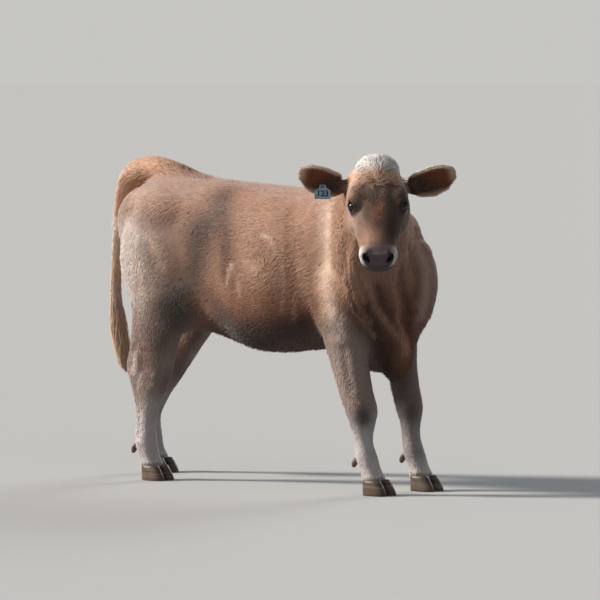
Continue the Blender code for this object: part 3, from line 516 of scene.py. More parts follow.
def make_head():
    """In head axes: X from the poll to the muzzle, Z out of the forehead, Y left."""
    c = Clay(turn(HEAD_YAW, HEAD_PITCH), HEAD_POLL)
    k = HEAD_LENGTH / 0.41
    rows = [  # x, z, up, down, half width, power
        (0.000, -0.095, 0.085, 0.085, 0.080, 2.2),
        (0.050, -0.095, 0.098, 0.100, 0.098, 2.3),
        (0.110, -0.095, 0.098, 0.105, 0.106, 2.4),   # forehead
        (0.170, -0.095, 0.090, 0.100, 0.103, 2.4),   # eyes
        (0.235, -0.098, 0.078, 0.080, 0.082, 2.4),
        (0.300, -0.103, 0.065, 0.062, 0.068, 2.3),
        (0.350, -0.106, 0.056, 0.055, 0.066, 2.3),
        (0.385, -0.110, 0.044, 0.048, 0.060, 2.3),
    ]
    c.add(Slices([(x * k, 0, z, w, w, up, dn, n) for x, z, up, dn, w, n in rows],
                 caps=(0.045, 0.025)), 0.01)
    jaw = [(0.050, -0.160, .050, .060, .070, 2.2), (0.120, -0.160, .055, .062, .082, 2.2),
           (0.200, -0.158, .050, .052, .072, 2.2), (0.280, -0.150, .040, .038, .052, 2.2),
           (0.355, -0.142, .032, .030, .044, 2.2)]
    c.add(Slices([(x * k, 0, z, w, w, up, dn, n) for x, z, up, dn, w, n in jaw],
                 caps=(.04, .025)), 0.03)
    for s in (-1, 1):
        c.add(Ball((0.125 * k, s * 0.078, -0.125), (0.085, 0.036, 0.072)), 0.03)     # cheek
        c.add(Ball((0.138 * k, s * 0.076, -0.027), (0.044, 0.022, 0.022)), 0.03)     # brow
        c.add(Ball((0.368 * k, s * 0.040, -0.092), (0.030, 0.026, 0.028)), 0.015)    # nostril wing
    c.add(Ball((0.300 * k, 0, -0.180), (0.060, 0.036, 0.022)), 0.02)                    # chin
    c.add(Ball((-0.004, 0.0, -0.046), (0.058, 0.066, 0.046)), 0.03)                    # under the hair of the poll
    face_details(c)
    return c


def ear_frame(side):
    """Columns: along the ear to its tip, across it (up), and out of its hollow side."""
    head = turn(HEAD_YAW)
    out, fore, up = head @ np.array([0, side, 0]), head @ np.array([1, 0, 0]), np.array([0, 0, 1.0])
    rise = np.radians(EAR_RISE)
    along = out * np.cos(rise) + up * np.sin(rise)
    face = fore - (fore @ along) * along
    face = face / np.linalg.norm(face)
    across = up - (up @ along) * along - (up @ face) * face
    return np.array([along, across / np.linalg.norm(across), face]).T


def make_ear(side):
    """In ear axes: X along, Y across (up), Z out of the hollow."""
    o = np.array(HEAD_POLL) + turn(HEAD_YAW, HEAD_PITCH) @ np.array([0.035, side * 0.085, -0.085])
    c = Clay(ear_frame(side), o)
    n = EAR_LENGTH
    c.add(Slices([(-0.020, 0, -0.012, .026, .026, .026, .024, 2),
                  (0.030, 0, -0.012, .030, .036, .026, .024, 2),
                  (0.30 * n, 0, -0.012, .038, .050, .024, .022, 2),
                  (0.55 * n, 0, -0.010, .045, .060, .020, .018, 2),
                  (0.80 * n, 0.002, -0.006, .040, .050, .015, .014, 2),
                  (0.94 * n, 0.004, -0.004, .024, .028, .010, .010, 2)], caps=(.02, .012)), 0.01)
    c.cut(Slices([(0.050, 0, 0.012, .014, .018, .014, .008, 2),
                  (0.30 * n, 0, 0.012, .028, .038, .030, .016, 2),
                  (0.60 * n, 0, 0.012, .035, .048, .030, .014, 2),
                  (0.85 * n, .002, 0.010, .024, .030, .020, .009, 2)], caps=(.015, .012)), 0.006)
    for y, lift in ((-0.016, 0.0), (0.002, 0.002), (0.018, 0.0)):
        c.press(Line([(0.045, 0.4 * y, -0.006), (0.30 * n, 0.8 * y, -0.004), (0.60 * n, y, -0.002), (0.78 * n, 0.9 * y, 0.0)], 0.0045), -0.0016)
    c.press(Line([(-0.010, -0.020, 0.004), (0.020, -0.034, 0.002), (0.050, -0.040, 0.002)], 0.008), 0.003)
    return c


TAIL = [  # x, y, z, half width, half thickness
    (-0.360, 0, 1.070, 0.040, 0.036),
    (-0.480, 0, 1.114, 0.040, 0.038),
    (-0.600, 0, 1.140, 0.040, 0.042),
    (-0.680, 0, 1.134, 0.040, 0.044),
    (-0.733, 0, 1.104, 0.038, 0.043),
    (-0.762, 0, 1.040, 0.034, 0.038),
    (-0.786, 0, 0.950, 0.029, 0.032),
    (-0.804, 0, 0.850, 0.027, 0.027),
    (-0.815, 0, 0.730, 0.027, 0.025),
    (-0.811, 0, 0.630, 0.030, 0.027),
    (-0.794, 0, 0.530, 0.033, 0.030),
    (-0.775, 0, 0.440, 0.027, 0.025),
    (-0.765, 0, 0.390, 0.013, 0.012),
]


def make_tail():
    return Clay().add(Tube(TAIL, per=5), 0.01)


LEGS = tuple(FEET)
REGIONS = ("trunk", "neck", "head") + LEGS + ("ear_right", "ear_left", "tail")


def flesh():
    """The animal's parts, in the order of REGIONS, and how widely each melts into the rest."""
    parts = [(make_trunk(), 0.02), (make_neck(), 0.06), (make_head(), 0.03)]
    parts += [(make_leg(n), 0.058 if n.startswith("hind") else 0.040) for n in LEGS]
    parts += [(make_ear(s), 0.012) for s in (-1, 1)]
    parts += [(make_tail(), 0.02)]
    return parts


def whole(p, parts, each=None):
    """The field of the whole animal; each, if given, is filled with every part's own field."""
    f = np.full(len(p), 0.3, p.dtype)
    for i, (clay, k) in enumerate(parts):
        lo, hi = clay.box()
        near = np.flatnonzero(((p > lo - k - 0.012) & (p < hi + k + 0.012)).all(1))
        if len(near):
            g = clay(p[near])
            f[near] = melt(f[near], g, k)
            if each is not None:
                each[near, i] = g
    return f


# ---------------------------------------------------------------------------
# The skin's mesh: fine cells round the head, coarser ones elsewhere
# ---------------------------------------------------------------------------
def graded(lo, hi, fine_lo, fine_hi, fine, coarse):
    """Grid stations from lo to hi, close together between fine_lo and fine_hi."""
    out = [lo]
    while out[-1] < hi:
        x = out[-1]
        away = max(fine_lo - x, x - fine_hi, 0.0)
        out.append(x + min(coarse, fine + 0.16 * away))
    return np.array(out)


def mesh_field(field, axes, value):
    """Quads of the surface where field is `value`, on a grid with those stations."""
    n = [len(a) for a in axes]
    values = np.empty(n, np.float32)
    yz = np.stack(np.meshgrid(axes[1], axes[2], indexing="ij"), -1).reshape(-1, 2)
    slab = max(1, 400000 // len(yz))
    for i in range(0, n[0], slab):
        x = axes[0][i:i + slab]
        p = np.empty((len(x) * len(yz), 3), np.float32)
        p[:, 0] = np.repeat(x, len(yz))
        p[:, 1:] = np.tile(yz, (len(x), 1))
        values[i:i + slab] = field(p).reshape(len(x), n[1], n[2])
    grid = openvdb.FloatGrid(0.3)
    grid.copyFromArray(values - value)
    points, quads = grid.convertToQuads(isovalue=0.0)
    points = np.asarray(points, float)
    points = np.stack([np.interp(points[:, i], np.arange(n[i]), axes[i]) for i in range(3)], 1)
    return points, np.asarray(quads, int)


def project(field, p, target, steps=3, limit=0.006):
    """Moves points along the field's gradient until it has the target value there."""
    h = 0.0008
    for _ in range(steps):
        f = field(p.astype(np.float32)).astype(float)
        g = np.stack([(field((p + e).astype(np.float32)) - field((p - e).astype(np.float32))) / (2 * h)
                      for e in np.eye(3) * h], 1).astype(float)
        length = np.maximum(np.linalg.norm(g, axis=1), 0.35)
        move = np.clip((f - target) / length, -limit, limit)
        p = p - g / length[:, None] * move[:, None]
    return p


def new_mesh(name, points, faces, smooth=True):
    """A mesh object from arrays; points are in the tables' axes."""
    faces = np.asarray(faces)
    me = bpy.data.meshes.new(name)
    me.vertices.add(len(points))
    me.vertices.foreach_set("co", (np.asarray(points, float) + SHIFT).astype(np.float32).ravel())
    me.loops.add(faces.size)
    me.loops.foreach_set("vertex_index", faces.ravel().astype(np.int32))
    me.polygons.add(len(faces))
    me.polygons.foreach_set("loop_start", (np.arange(len(faces)) * faces.shape[1]).astype(np.int32))
    me.update(calc_edges=True)
    me.polygons.foreach_set("use_smooth", np.full(len(faces), smooth))
    ob = bpy.data.objects.new(name, me)
    bpy.context.scene.collection.objects.link(ob)
    return ob


def arrays(me):
    """Vertex positions in the tables' axes, and normals."""
    co = np.empty(len(me.vertices) * 3, np.float32)
    me.vertices.foreach_get("co", co)
    no = np.empty(len(me.vertices) * 3, np.float32)
    me.vertices.foreach_get("normal", no)
    return co.reshape(-1, 3).astype(float) - SHIFT, no.reshape(-1, 3).astype(float)


def smoothstep(x, a, b):
    t = np.clip((x - a) / (b - a), 0, 1)
    return t * t * (3 - 2 * t)


def unit(v):
    return v / np.maximum(np.linalg.norm(v, axis=-1, keepdims=True), 1e-9)


def mix(a, b, t):
    return a + (b - a) * np.asarray(t)[..., None]


def cloud(p, c, r):
    """1 at c, fading softly over r."""
    return np.exp(-(((p - np.array(c)) / np.array(r)) ** 2).sum(1))


def blob(p, c, r):
    """A soft spot: 1 at c, falling away over the half sizes r."""
    return np.exp(-(((p - np.asarray(c)) / np.asarray(r)) ** 2).sum(1))


def noise(p, scale, seed=0):
    """Smooth noise from -1 to 1 with features about 1/scale metres across."""
    q = np.asarray(p, float) * scale + seed * 17.31
    i = np.floor(q).astype(np.int64)
    f = q - i
    f = f * f * (3 - 2 * f)
    out = np.zeros(len(q))
    for dx in (0, 1):
        for dy in (0, 1):
            for dz in (0, 1):
                h = ((i[:, 0] + dx) * 374761393 + (i[:, 1] + dy) * 668265263 + (i[:, 2] + dz) * 974634777 + seed * 1013) & 0xFFFFFFFF
                h = ((h ^ (h >> 13)) * 1274126177) & 0xFFFFFFFF
                h = (h ^ (h >> 16)) & 0xFFFF
                out += (h / 65535.0) * np.where(dx, f[:, 0], 1 - f[:, 0]) * np.where(dy, f[:, 1], 1 - f[:, 1]) * np.where(dz, f[:, 2], 1 - f[:, 2])
    return out * 2 - 1


def srgb(r, g, b):
    c = np.array([r, g, b]) / 255.0
    return np.where(c <= 0.04045, c / 12.92, ((c + 0.055) / 1.055) ** 2.4)


HEAD_AXES, HEAD_AT = turn(HEAD_YAW, HEAD_PITCH), np.array(HEAD_POLL)
PARTS = flesh()


def body_field(p):
    return whole(p, PARTS)


def in_head(p):
    return (p - HEAD_AT) @ HEAD_AXES


# The solids' outer surface, to keep the skin and the coat inside it.
class Outline:
    """Signed depth inside the CAD's outline. Faces of the thin cuts between nodes are left out."""

    def __init__(self):
        trees, verts, faces = {}, {}, {}
        for name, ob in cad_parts.items():
            if any(w in name for w in ("eye", "hoof", "claw", "tag")):
                continue
            me = ob.data
            co, _ = arrays(me)
            me.calc_loop_triangles()
            tri = np.empty(len(me.loop_triangles) * 3, np.int32)
            me.loop_triangles.foreach_get("vertices", tri)
            verts[name], faces[name] = co, tri.reshape(-1, 3)
            trees[name] = BVHTree.FromPolygons(co.tolist(), faces[name].tolist())
        all_v, all_f, base = [], [], 0
        for name, co in verts.items():
            tri = faces[name]
            a, b, c = co[tri[:, 0]], co[tri[:, 1]], co[tri[:, 2]]
            centre, normal = (a + b + c) / 3, unit(np.cross(b - a, c - a))
            keep = np.ones(len(tri), bool)
            for other, tree in trees.items():
                if other == name:
                    continue
                lo, hi = verts[other].min(0) - 0.003, verts[other].max(0) + 0.003
                for i in np.flatnonzero(keep & ((centre > lo) & (centre < hi)).all(1)):
                    _, n, _, d = tree.find_nearest(centre[i].tolist(), 0.0015)
                    if d is not None and np.dot(np.array(n), normal[i]) < -0.8:
                        keep[i] = False
            all_v.append(co)
            all_f.append(tri[keep] + base)
            base += len(co)
        self.v, self.f = np.vstack(all_v), np.vstack(all_f)
        self.tree = BVHTree.FromPolygons(self.v.tolist(), self.f.tolist())

    def __call__(self, p):
        """Depth inside (below 0 is outside) and the way out."""
        depth, out = np.empty(len(p)), np.empty((len(p), 3))
        find = self.tree.find_nearest
        for i, q in enumerate(p.tolist()):
            hit, n, _, d = find(q)
            to = np.array([hit[0] - q[0], hit[1] - q[1], hit[2] - q[2]])
            side = to[0] * n[0] + to[1] * n[1] + to[2] * n[2]
            depth[i] = d if side > 0 else -d
            out[i] = to / d if d > 1e-7 and side > 0 else (-to / d if d > 1e-7 else n)
        return depth, out


def neighbours(n, faces):
    """Edges of the mesh, as two columns of vertex numbers."""
    edges = []
    for poly in faces:
        edges.append(np.stack([poly, np.roll(poly, -1, axis=1)], -1).reshape(-1, 2))
    e = np.vstack(edges)
    e = np.unique(np.sort(e, axis=1), axis=0)
    return e


def spread(values, edges, count):
    """The mean of each vertex's neighbours."""
    out = np.zeros_like(values)
    np.add.at(out, edges[:, 0], values[edges[:, 1]])
    np.add.at(out, edges[:, 1], values[edges[:, 0]])
    return out / (count[:, None] if values.ndim == 2 else count)
# ---------------------------------------------------------------------------
# Skin: mesh, finer round eyes and muzzle, then kept inside the outline by the coat's depth
# ---------------------------------------------------------------------------
DEPTHS = dict(trunk=0.0065, neck=0.0070, head=0.0040, foreleg_right=0.0045, foreleg_left=0.0045,
              hindleg_right=0.0050, hindleg_left=0.0050, ear_right=0.0028, ear_left=0.0028, tail=0.0085)
NOSE = np.array([0.392, 0.0, -0.094])          # middle of the nose pad, in head axes


def pad_mask(h):
    """1 on the bare nose pad and round the nostrils, 0 on hair; h in head axes."""
    y, z = np.abs(h[:, 1]), h[:, 2]
    side = 0.050 + 0.006 * smoothstep(z, -0.105, -0.080)
    e = (np.maximum(y, 0) / side) ** 2.6 + (np.abs(z + 0.0915) / 0.0355) ** 2.6
    return (1 - smoothstep(e, 0.80, 1.15)) * smoothstep(h[:, 0], 0.340, 0.352)


def eye_near(h, r=0.045):
    """1 at the eyes, 0 beyond r."""
    d = np.minimum(*[np.linalg.norm(h - np.array([EYE[0], s * EYE[1], EYE[2]]), axis=1) for s in (-1, 1)])
    return 1 - smoothstep(d, 0.55 * r, r)


def region_weights(p):
    each = np.full((len(p), len(REGIONS)), 0.3, np.float32)
    whole(p.astype(np.float32), PARTS, each)
    w = np.exp(-np.clip(each + 0.01, -0.2, 0.3) / 0.012)
    return w / w.sum(1, keepdims=True)


def coat_depth(p, w):
    """How deep the skin lies under the tips of the coat."""
    d = w @ np.array([DEPTHS[r] for r in REGIONS])
    h = in_head(p)
    on_head = w[:, 2]
    muzzle = smoothstep(h[:, 0], 0.26, 0.33) * on_head
    d = d * (1 - muzzle) + 0.0022 * muzzle
    bare = np.maximum(pad_mask(h) * on_head, eye_near(h, 0.040) * on_head)
    d = d * (1 - bare) + 0.0006 * bare
    low = 1 - smoothstep(p[:, 2], 0.10, 0.22)
    d = d * (1 - low) + 0.0035 * low
    return d


AXES = [graded(-0.87, 0.93, 0.43, 0.93, 0.0049, 0.0123), graded(-0.60, 0.27, -0.60, -0.10, 0.0049, 0.0123),
        graded(-0.01, 1.25, 0.80, 1.25, 0.0049, 0.0123)]
points, quads = mesh_field(body_field, AXES, SKIN_ISO)


def refine(points, faces, where, field_steps):
    """Splits the faces near the given places into four."""
    ob = new_mesh("refining", points, faces)
    bm = bmesh.new()
    bm.from_mesh(ob.data)
    for centre, radius in where:
        c = Vector((np.asarray(centre) + SHIFT).tolist())
        edges = {e for f in bm.faces if (f.calc_center_median() - c).length < radius for e in f.edges}
        bmesh.ops.subdivide_edges(bm, edges=list(edges), cuts=1, use_grid_fill=True)
    bmesh.ops.triangulate(bm, faces=[f for f in bm.faces if len(f.verts) > 4])
    bm.verts.index_update()
    out = np.array([v.co[:] for v in bm.verts]) - SHIFT
    tris = np.array([[v.index for v in f.verts] for f in bm.faces if len(f.verts) == 3], int).reshape(-1, 3)
    four = np.array([[v.index for v in f.verts] for f in bm.faces if len(f.verts) == 4], int).reshape(-1, 4)
    bm.free()
    bpy.data.meshes.remove(ob.data)
    return out, four, tris


def from_head(*h):
    return np.asarray(h) @ HEAD_AXES.T + HEAD_AT


near_eyes = [(from_head(EYE[0] + 0.004, s * (EYE[1] + 0.012), EYE[2]), 0.037) for s in (-1, 1)]
muzzle = [(from_head(0.372, 0.0, -0.098), 0.074)]
points, quads, tris = refine(points, quads, near_eyes + muzzle, 1)
faces_all = [quads, tris]
weights = region_weights(points)
points = project(body_field, points, -coat_depth(points, weights), steps=3)


def split_again(points, quads, tris, where):
    ob = bpy.data.meshes.new("refining")
    ob.from_pydata((points + SHIFT).tolist(), [], quads.tolist() + tris.tolist())
    bm = bmesh.new()
    bm.from_mesh(ob)
    bpy.data.meshes.remove(ob)
    for centre, radius in where:
        c = Vector((np.asarray(centre) + SHIFT).tolist())
        edges = {e for f in bm.faces if (f.calc_center_median() - c).length < radius for e in f.edges}
        bmesh.ops.subdivide_edges(bm, edges=list(edges), cuts=1, use_grid_fill=True)
    bmesh.ops.triangulate(bm, faces=[f for f in bm.faces if len(f.verts) > 4])
    bm.verts.index_update()
    out = np.array([v.co[:] for v in bm.verts]) - SHIFT
    t = np.array([[v.index for v in f.verts] for f in bm.faces if len(f.verts) == 3], int).reshape(-1, 3)
    q = np.array([[v.index for v in f.verts] for f in bm.faces if len(f.verts) == 4], int).reshape(-1, 4)
    bm.free()
    return out, q, t


close = [(from_head(EYE[0] + 0.002, s * (EYE[1] + 0.014), EYE[2]), 0.025) for s in (-1, 1)]
close += [(from_head(0.380, s * 0.042, -0.083), 0.022) for s in (-1, 1)]
points, quads, tris = split_again(points, quads, tris, close)
weights = region_weights(points)
depth_wanted = coat_depth(points, weights)
points = project(body_field, points, -depth_wanted, steps=3, limit=0.004)

# the haunch is one smooth form
edges = neighbours(len(points), [quads, tris])
count = np.bincount(edges.ravel(), minlength=len(points)).astype(float)
even = smoothstep(-points[:, 0], 0.12, 0.26) * smoothstep(points[:, 2], 0.50, 0.60) * (1 - np.clip(3 * weights[:, 9], 0, 1)) * (1 - 0.7 * weights[:, 6])
even = even * smoothstep(np.abs(points[:, 1]), 0.02, 0.06)
for _ in range(70):
    points = points + (spread(points, edges, count) - points) * (0.6 * even)[:, None]
shoulder_ = smoothstep(points[:, 0], 0.18, 0.26) * (1 - smoothstep(points[:, 0], 0.40, 0.46)) * smoothstep(points[:, 2], 0.62, 0.72) * weights[:, 0]
for _ in range(30):
    points = points + (spread(points, edges, count) - points) * (0.6 * shoulder_)[:, None]

# keep it inside the outline
outline = Outline()
head_pts = in_head(points)
free = np.maximum(eye_near(head_pts, 0.046), 0) * weights[:, 2]     # the lids stand out to the eyeball's front
for rounds in (46, 46, 20, 0):
    inside, out = outline(points)
    short = np.clip(depth_wanted - 0.0022 * even - inside, 0, 0.03) * (1 - free)
    push = short.copy()
    for _ in range(12):
        push = np.maximum(short, 0.94 * spread(push, edges, count))
    push = 0.5 * (push + spread(push, edges, count))
    points = points - out * np.minimum(push, 0.03)[:, None]
    for _ in range(rounds):
        points = points + (spread(points, edges, count) - points) * (0.6 * even)[:, None]
for _ in range(9):
    points = points + (spread(points, edges, count) - points) * (0.5 * even)[:, None]
# even out the cells without shrinking the form
fine = np.maximum(eye_near(head_pts, 0.06), smoothstep(head_pts[:, 0], 0.20, 0.30)) * weights[:, 2]
for lam in (0.5, -0.52) * 3:
    points = points + (spread(points, edges, count) - points) * (lam * (1 - 0.85 * fine))[:, None]
inside, out = outline(points)

skin = bpy.data.meshes.new("skin")
skin.from_pydata((points + SHIFT).tolist(), [], quads.tolist() + tris.tolist())
skin.update()
skin.polygons.foreach_set("use_smooth", np.ones(len(skin.polygons), bool))
skin = bpy.data.objects.new("skin", skin)
bpy.context.scene.collection.objects.link(skin)
points, normals = arrays(skin.data)
points = points.astype(float)


# ---------------------------------------------------------------------------
# Lie of the hair, length and colour, as functions of place
# ---------------------------------------------------------------------------
NECK_RUN = unit(np.array([0.240, -0.240, 0.238]))
WHORLS = [  # centre, reach, turn: swirls of the coat on the trunk
    ((0.120, -0.225, 0.885), 0.050, 1.5), ((0.080, -0.238, 0.800), 0.040, -1.4), ((-0.050, -0.226, 0.780), 0.034, 1.2), ((0.120, 0.232, 0.870), 0.055, -1.5),
    ((-0.300, -0.200, 0.640), 0.060, 1.5), ((-0.300, 0.200, 0.640), 0.060, -1.5),
]
POLL_WHORL = np.array([0.088, -0.004, 0.006])
FACE_WHORL = np.array([0.236, 0.002, -0.020])


def lie_of(p, n, w):
    """The way the hair points, over the surface."""
    t = np.zeros_like(p)
    # trunk: back and down; thighs and chest down
    side = 1 - np.abs(n[:, 2])
    t0 = np.stack([np.full(len(p), -1.0), 0 * p[:, 1], -0.15 - 0.45 * side], 1)
    haunch = smoothstep(-p[:, 0], 0.30, 0.50) * smoothstep(1.08 - p[:, 2], 0.0, 0.16)
    t0 = mix(t0, np.array([-0.30, 0.0, -1.0]), haunch)
    chest = smoothstep(p[:, 0], 0.33, 0.47)
    t0 = mix(t0, np.array([-0.25, 0.0, -1.0]), chest)
    for c, reach, turning in WHORLS:
        c = np.array(c)
        r = p - c
        k = np.exp(-(r ** 2).sum(1) / reach ** 2)
        around = np.cross(n, unit(r)) * turning + unit(r) * 0.6
        t0 = t0 * (1 - np.minimum(k, 1) * 0.9)[:, None] + around * (k * 1.1)[:, None]
    t += t0 * w[:, :1]
    # neck: from the head to the chest
    t1 = -NECK_RUN + np.array([0, 0, -0.75])
    t += t1 * w[:, 1:2]
    # head: out from the whorls of poll and face
    h = in_head(p)
    a, b = h - POLL_WHORL, h - FACE_WHORL
    ka = 1 / ((a ** 2).sum(1) + 0.0006)
    kb = 0.8 / ((b ** 2).sum(1) + 0.0006)
    th = unit(a) * ka[:, None] + unit(b) * kb[:, None]
    th = unit(th)
    swirl = np.cross(np.array([0, 0, 1.0]), unit(a)) * np.exp(-(a ** 2).sum(1) / 0.045 ** 2)[:, None] * 0.9
    swirl += np.cross(np.array([0, 0, -1.0]), unit(b)) * np.exp(-(b ** 2).sum(1) / 0.03 ** 2)[:, None] * 0.7
    th = th + swirl
    jaw = smoothstep(-h[:, 2], 0.10, 0.18)
    th = mix(th, np.array([-0.75, 0.0, -0.55]), jaw * 0.8)
    snout = smoothstep(h[:, 0], 0.33, 0.37)
    round_pad = np.stack([-0.5 + 0 * h[:, 0], h[:, 1] * 14, (h[:, 2] + 0.095) * 14], 1)
    th = mix(th, round_pad, snout * 0.8)
    t += (th @ HEAD_AXES.T) * w[:, 2:3]
    # legs: down
    legs = w[:, 3:7].sum(1)
    t += np.stack([-0.12 * np.ones(len(p)), 0 * p[:, 1], -np.ones(len(p))], 1) * legs[:, None]
    # ears: towards the tips
    for i, s in ((7, -1), (8, 1)):
        t += ear_frame(s)[:, 0] * w[:, i:i + 1]
    # tail: down its length
    path = np.array(TAIL)[:, :3]
    step = unit(np.gradient(spline(path, 6), axis=0))
    line = spline(path, 6)
    onto = w[:, 9] > 0.02
    if onto.any():
        at = ((p[onto][:, None, :] - line[None]) ** 2).sum(2).argmin(1)
        t[onto] += step[at] * w[onto, 9:10] * 1.2
    wander = np.stack([noise(p, 14, 1), noise(p, 14, 2), noise(p, 14, 3)], 1) * 0.20 + np.stack([noise(p, 45, 4), noise(p, 45, 5), noise(p, 45, 6)], 1) * 0.11
    calm = 1 - 0.6 * legs - 0.3 * w[:, 7:9].sum(1)
    t = unit(t) + wander * calm[:, None]
    t -= (t * n).sum(1, keepdims=True) * n
    return unit(t)


# colours, as sRGB
TAN = srgb(186, 142, 116)
PALE_TAN = srgb(216, 186, 168)
RED = srgb(136, 86, 60)
# darkest red-brown low on the side and belly: partly the coat's own colour, partly painted shade
RUST_AND_SHADE = srgb(78, 46, 32)
DUN = srgb(174, 150, 138)       # thighs and legs, greyer
CREAM = srgb(230, 217, 208)
WHITE = srgb(248, 243, 238)
SMOKE = srgb(96, 76, 68)       # dark of the face and knees
EAR_DARK = srgb(62, 38, 27)
PAD = srgb(106, 84, 88)
PAD_DARK = srgb(32, 23, 23)
HIDE = srgb(150, 118, 104)      # bare skin under thin hair


STREAKS = [  # pale streaks on the right side, where the coat parts on the ribs, partly painted sheen; the last two are painted highlights along the thigh's muscles: points, width, strength
    ([(0.087, -0.217, 0.923), (0.122, -0.219, 0.903), (0.139, -0.223, 0.875), (0.140, -0.229, 0.841)], 0.0065, 0.75),
    ([(0.087, -0.238, 0.782), (0.063, -0.237, 0.796), (0.076, -0.236, 0.825), (0.093, -0.234, 0.840)], 0.0065, 0.65),
    ([(-0.073, -0.221, 0.749), (-0.061, -0.224, 0.785), (-0.033, -0.229, 0.800)], 0.0085, 0.65),
    ([(0.133, -0.233, 0.791), (0.125, -0.235, 0.776), (0.109, -0.237, 0.779)], 0.0070, 0.60),
    ([(0.200, -0.218, 0.820), (0.200, -0.219, 0.739), (0.184, -0.205, 0.644)], 0.0050, 0.50),
    ([(0.250, -0.206, 0.836), (0.246, -0.207, 0.722), (0.221, -0.182, 0.609)], 0.0050, 0.55),
    ([(-0.010, -0.232, 0.760), (0.000, -0.230, 0.700)], 0.0100, 0.35),
    ([(-0.448, -0.213, 0.898), (-0.431, -0.216, 0.873), (-0.410, -0.218, 0.841), (-0.382, -0.213, 0.790)], 0.0130, 0.60),
    ([(-0.540, -0.212, 0.860), (-0.536, -0.217, 0.817), (-0.509, -0.220, 0.774), (-0.498, -0.216, 0.727)], 0.0170, 0.60),
]


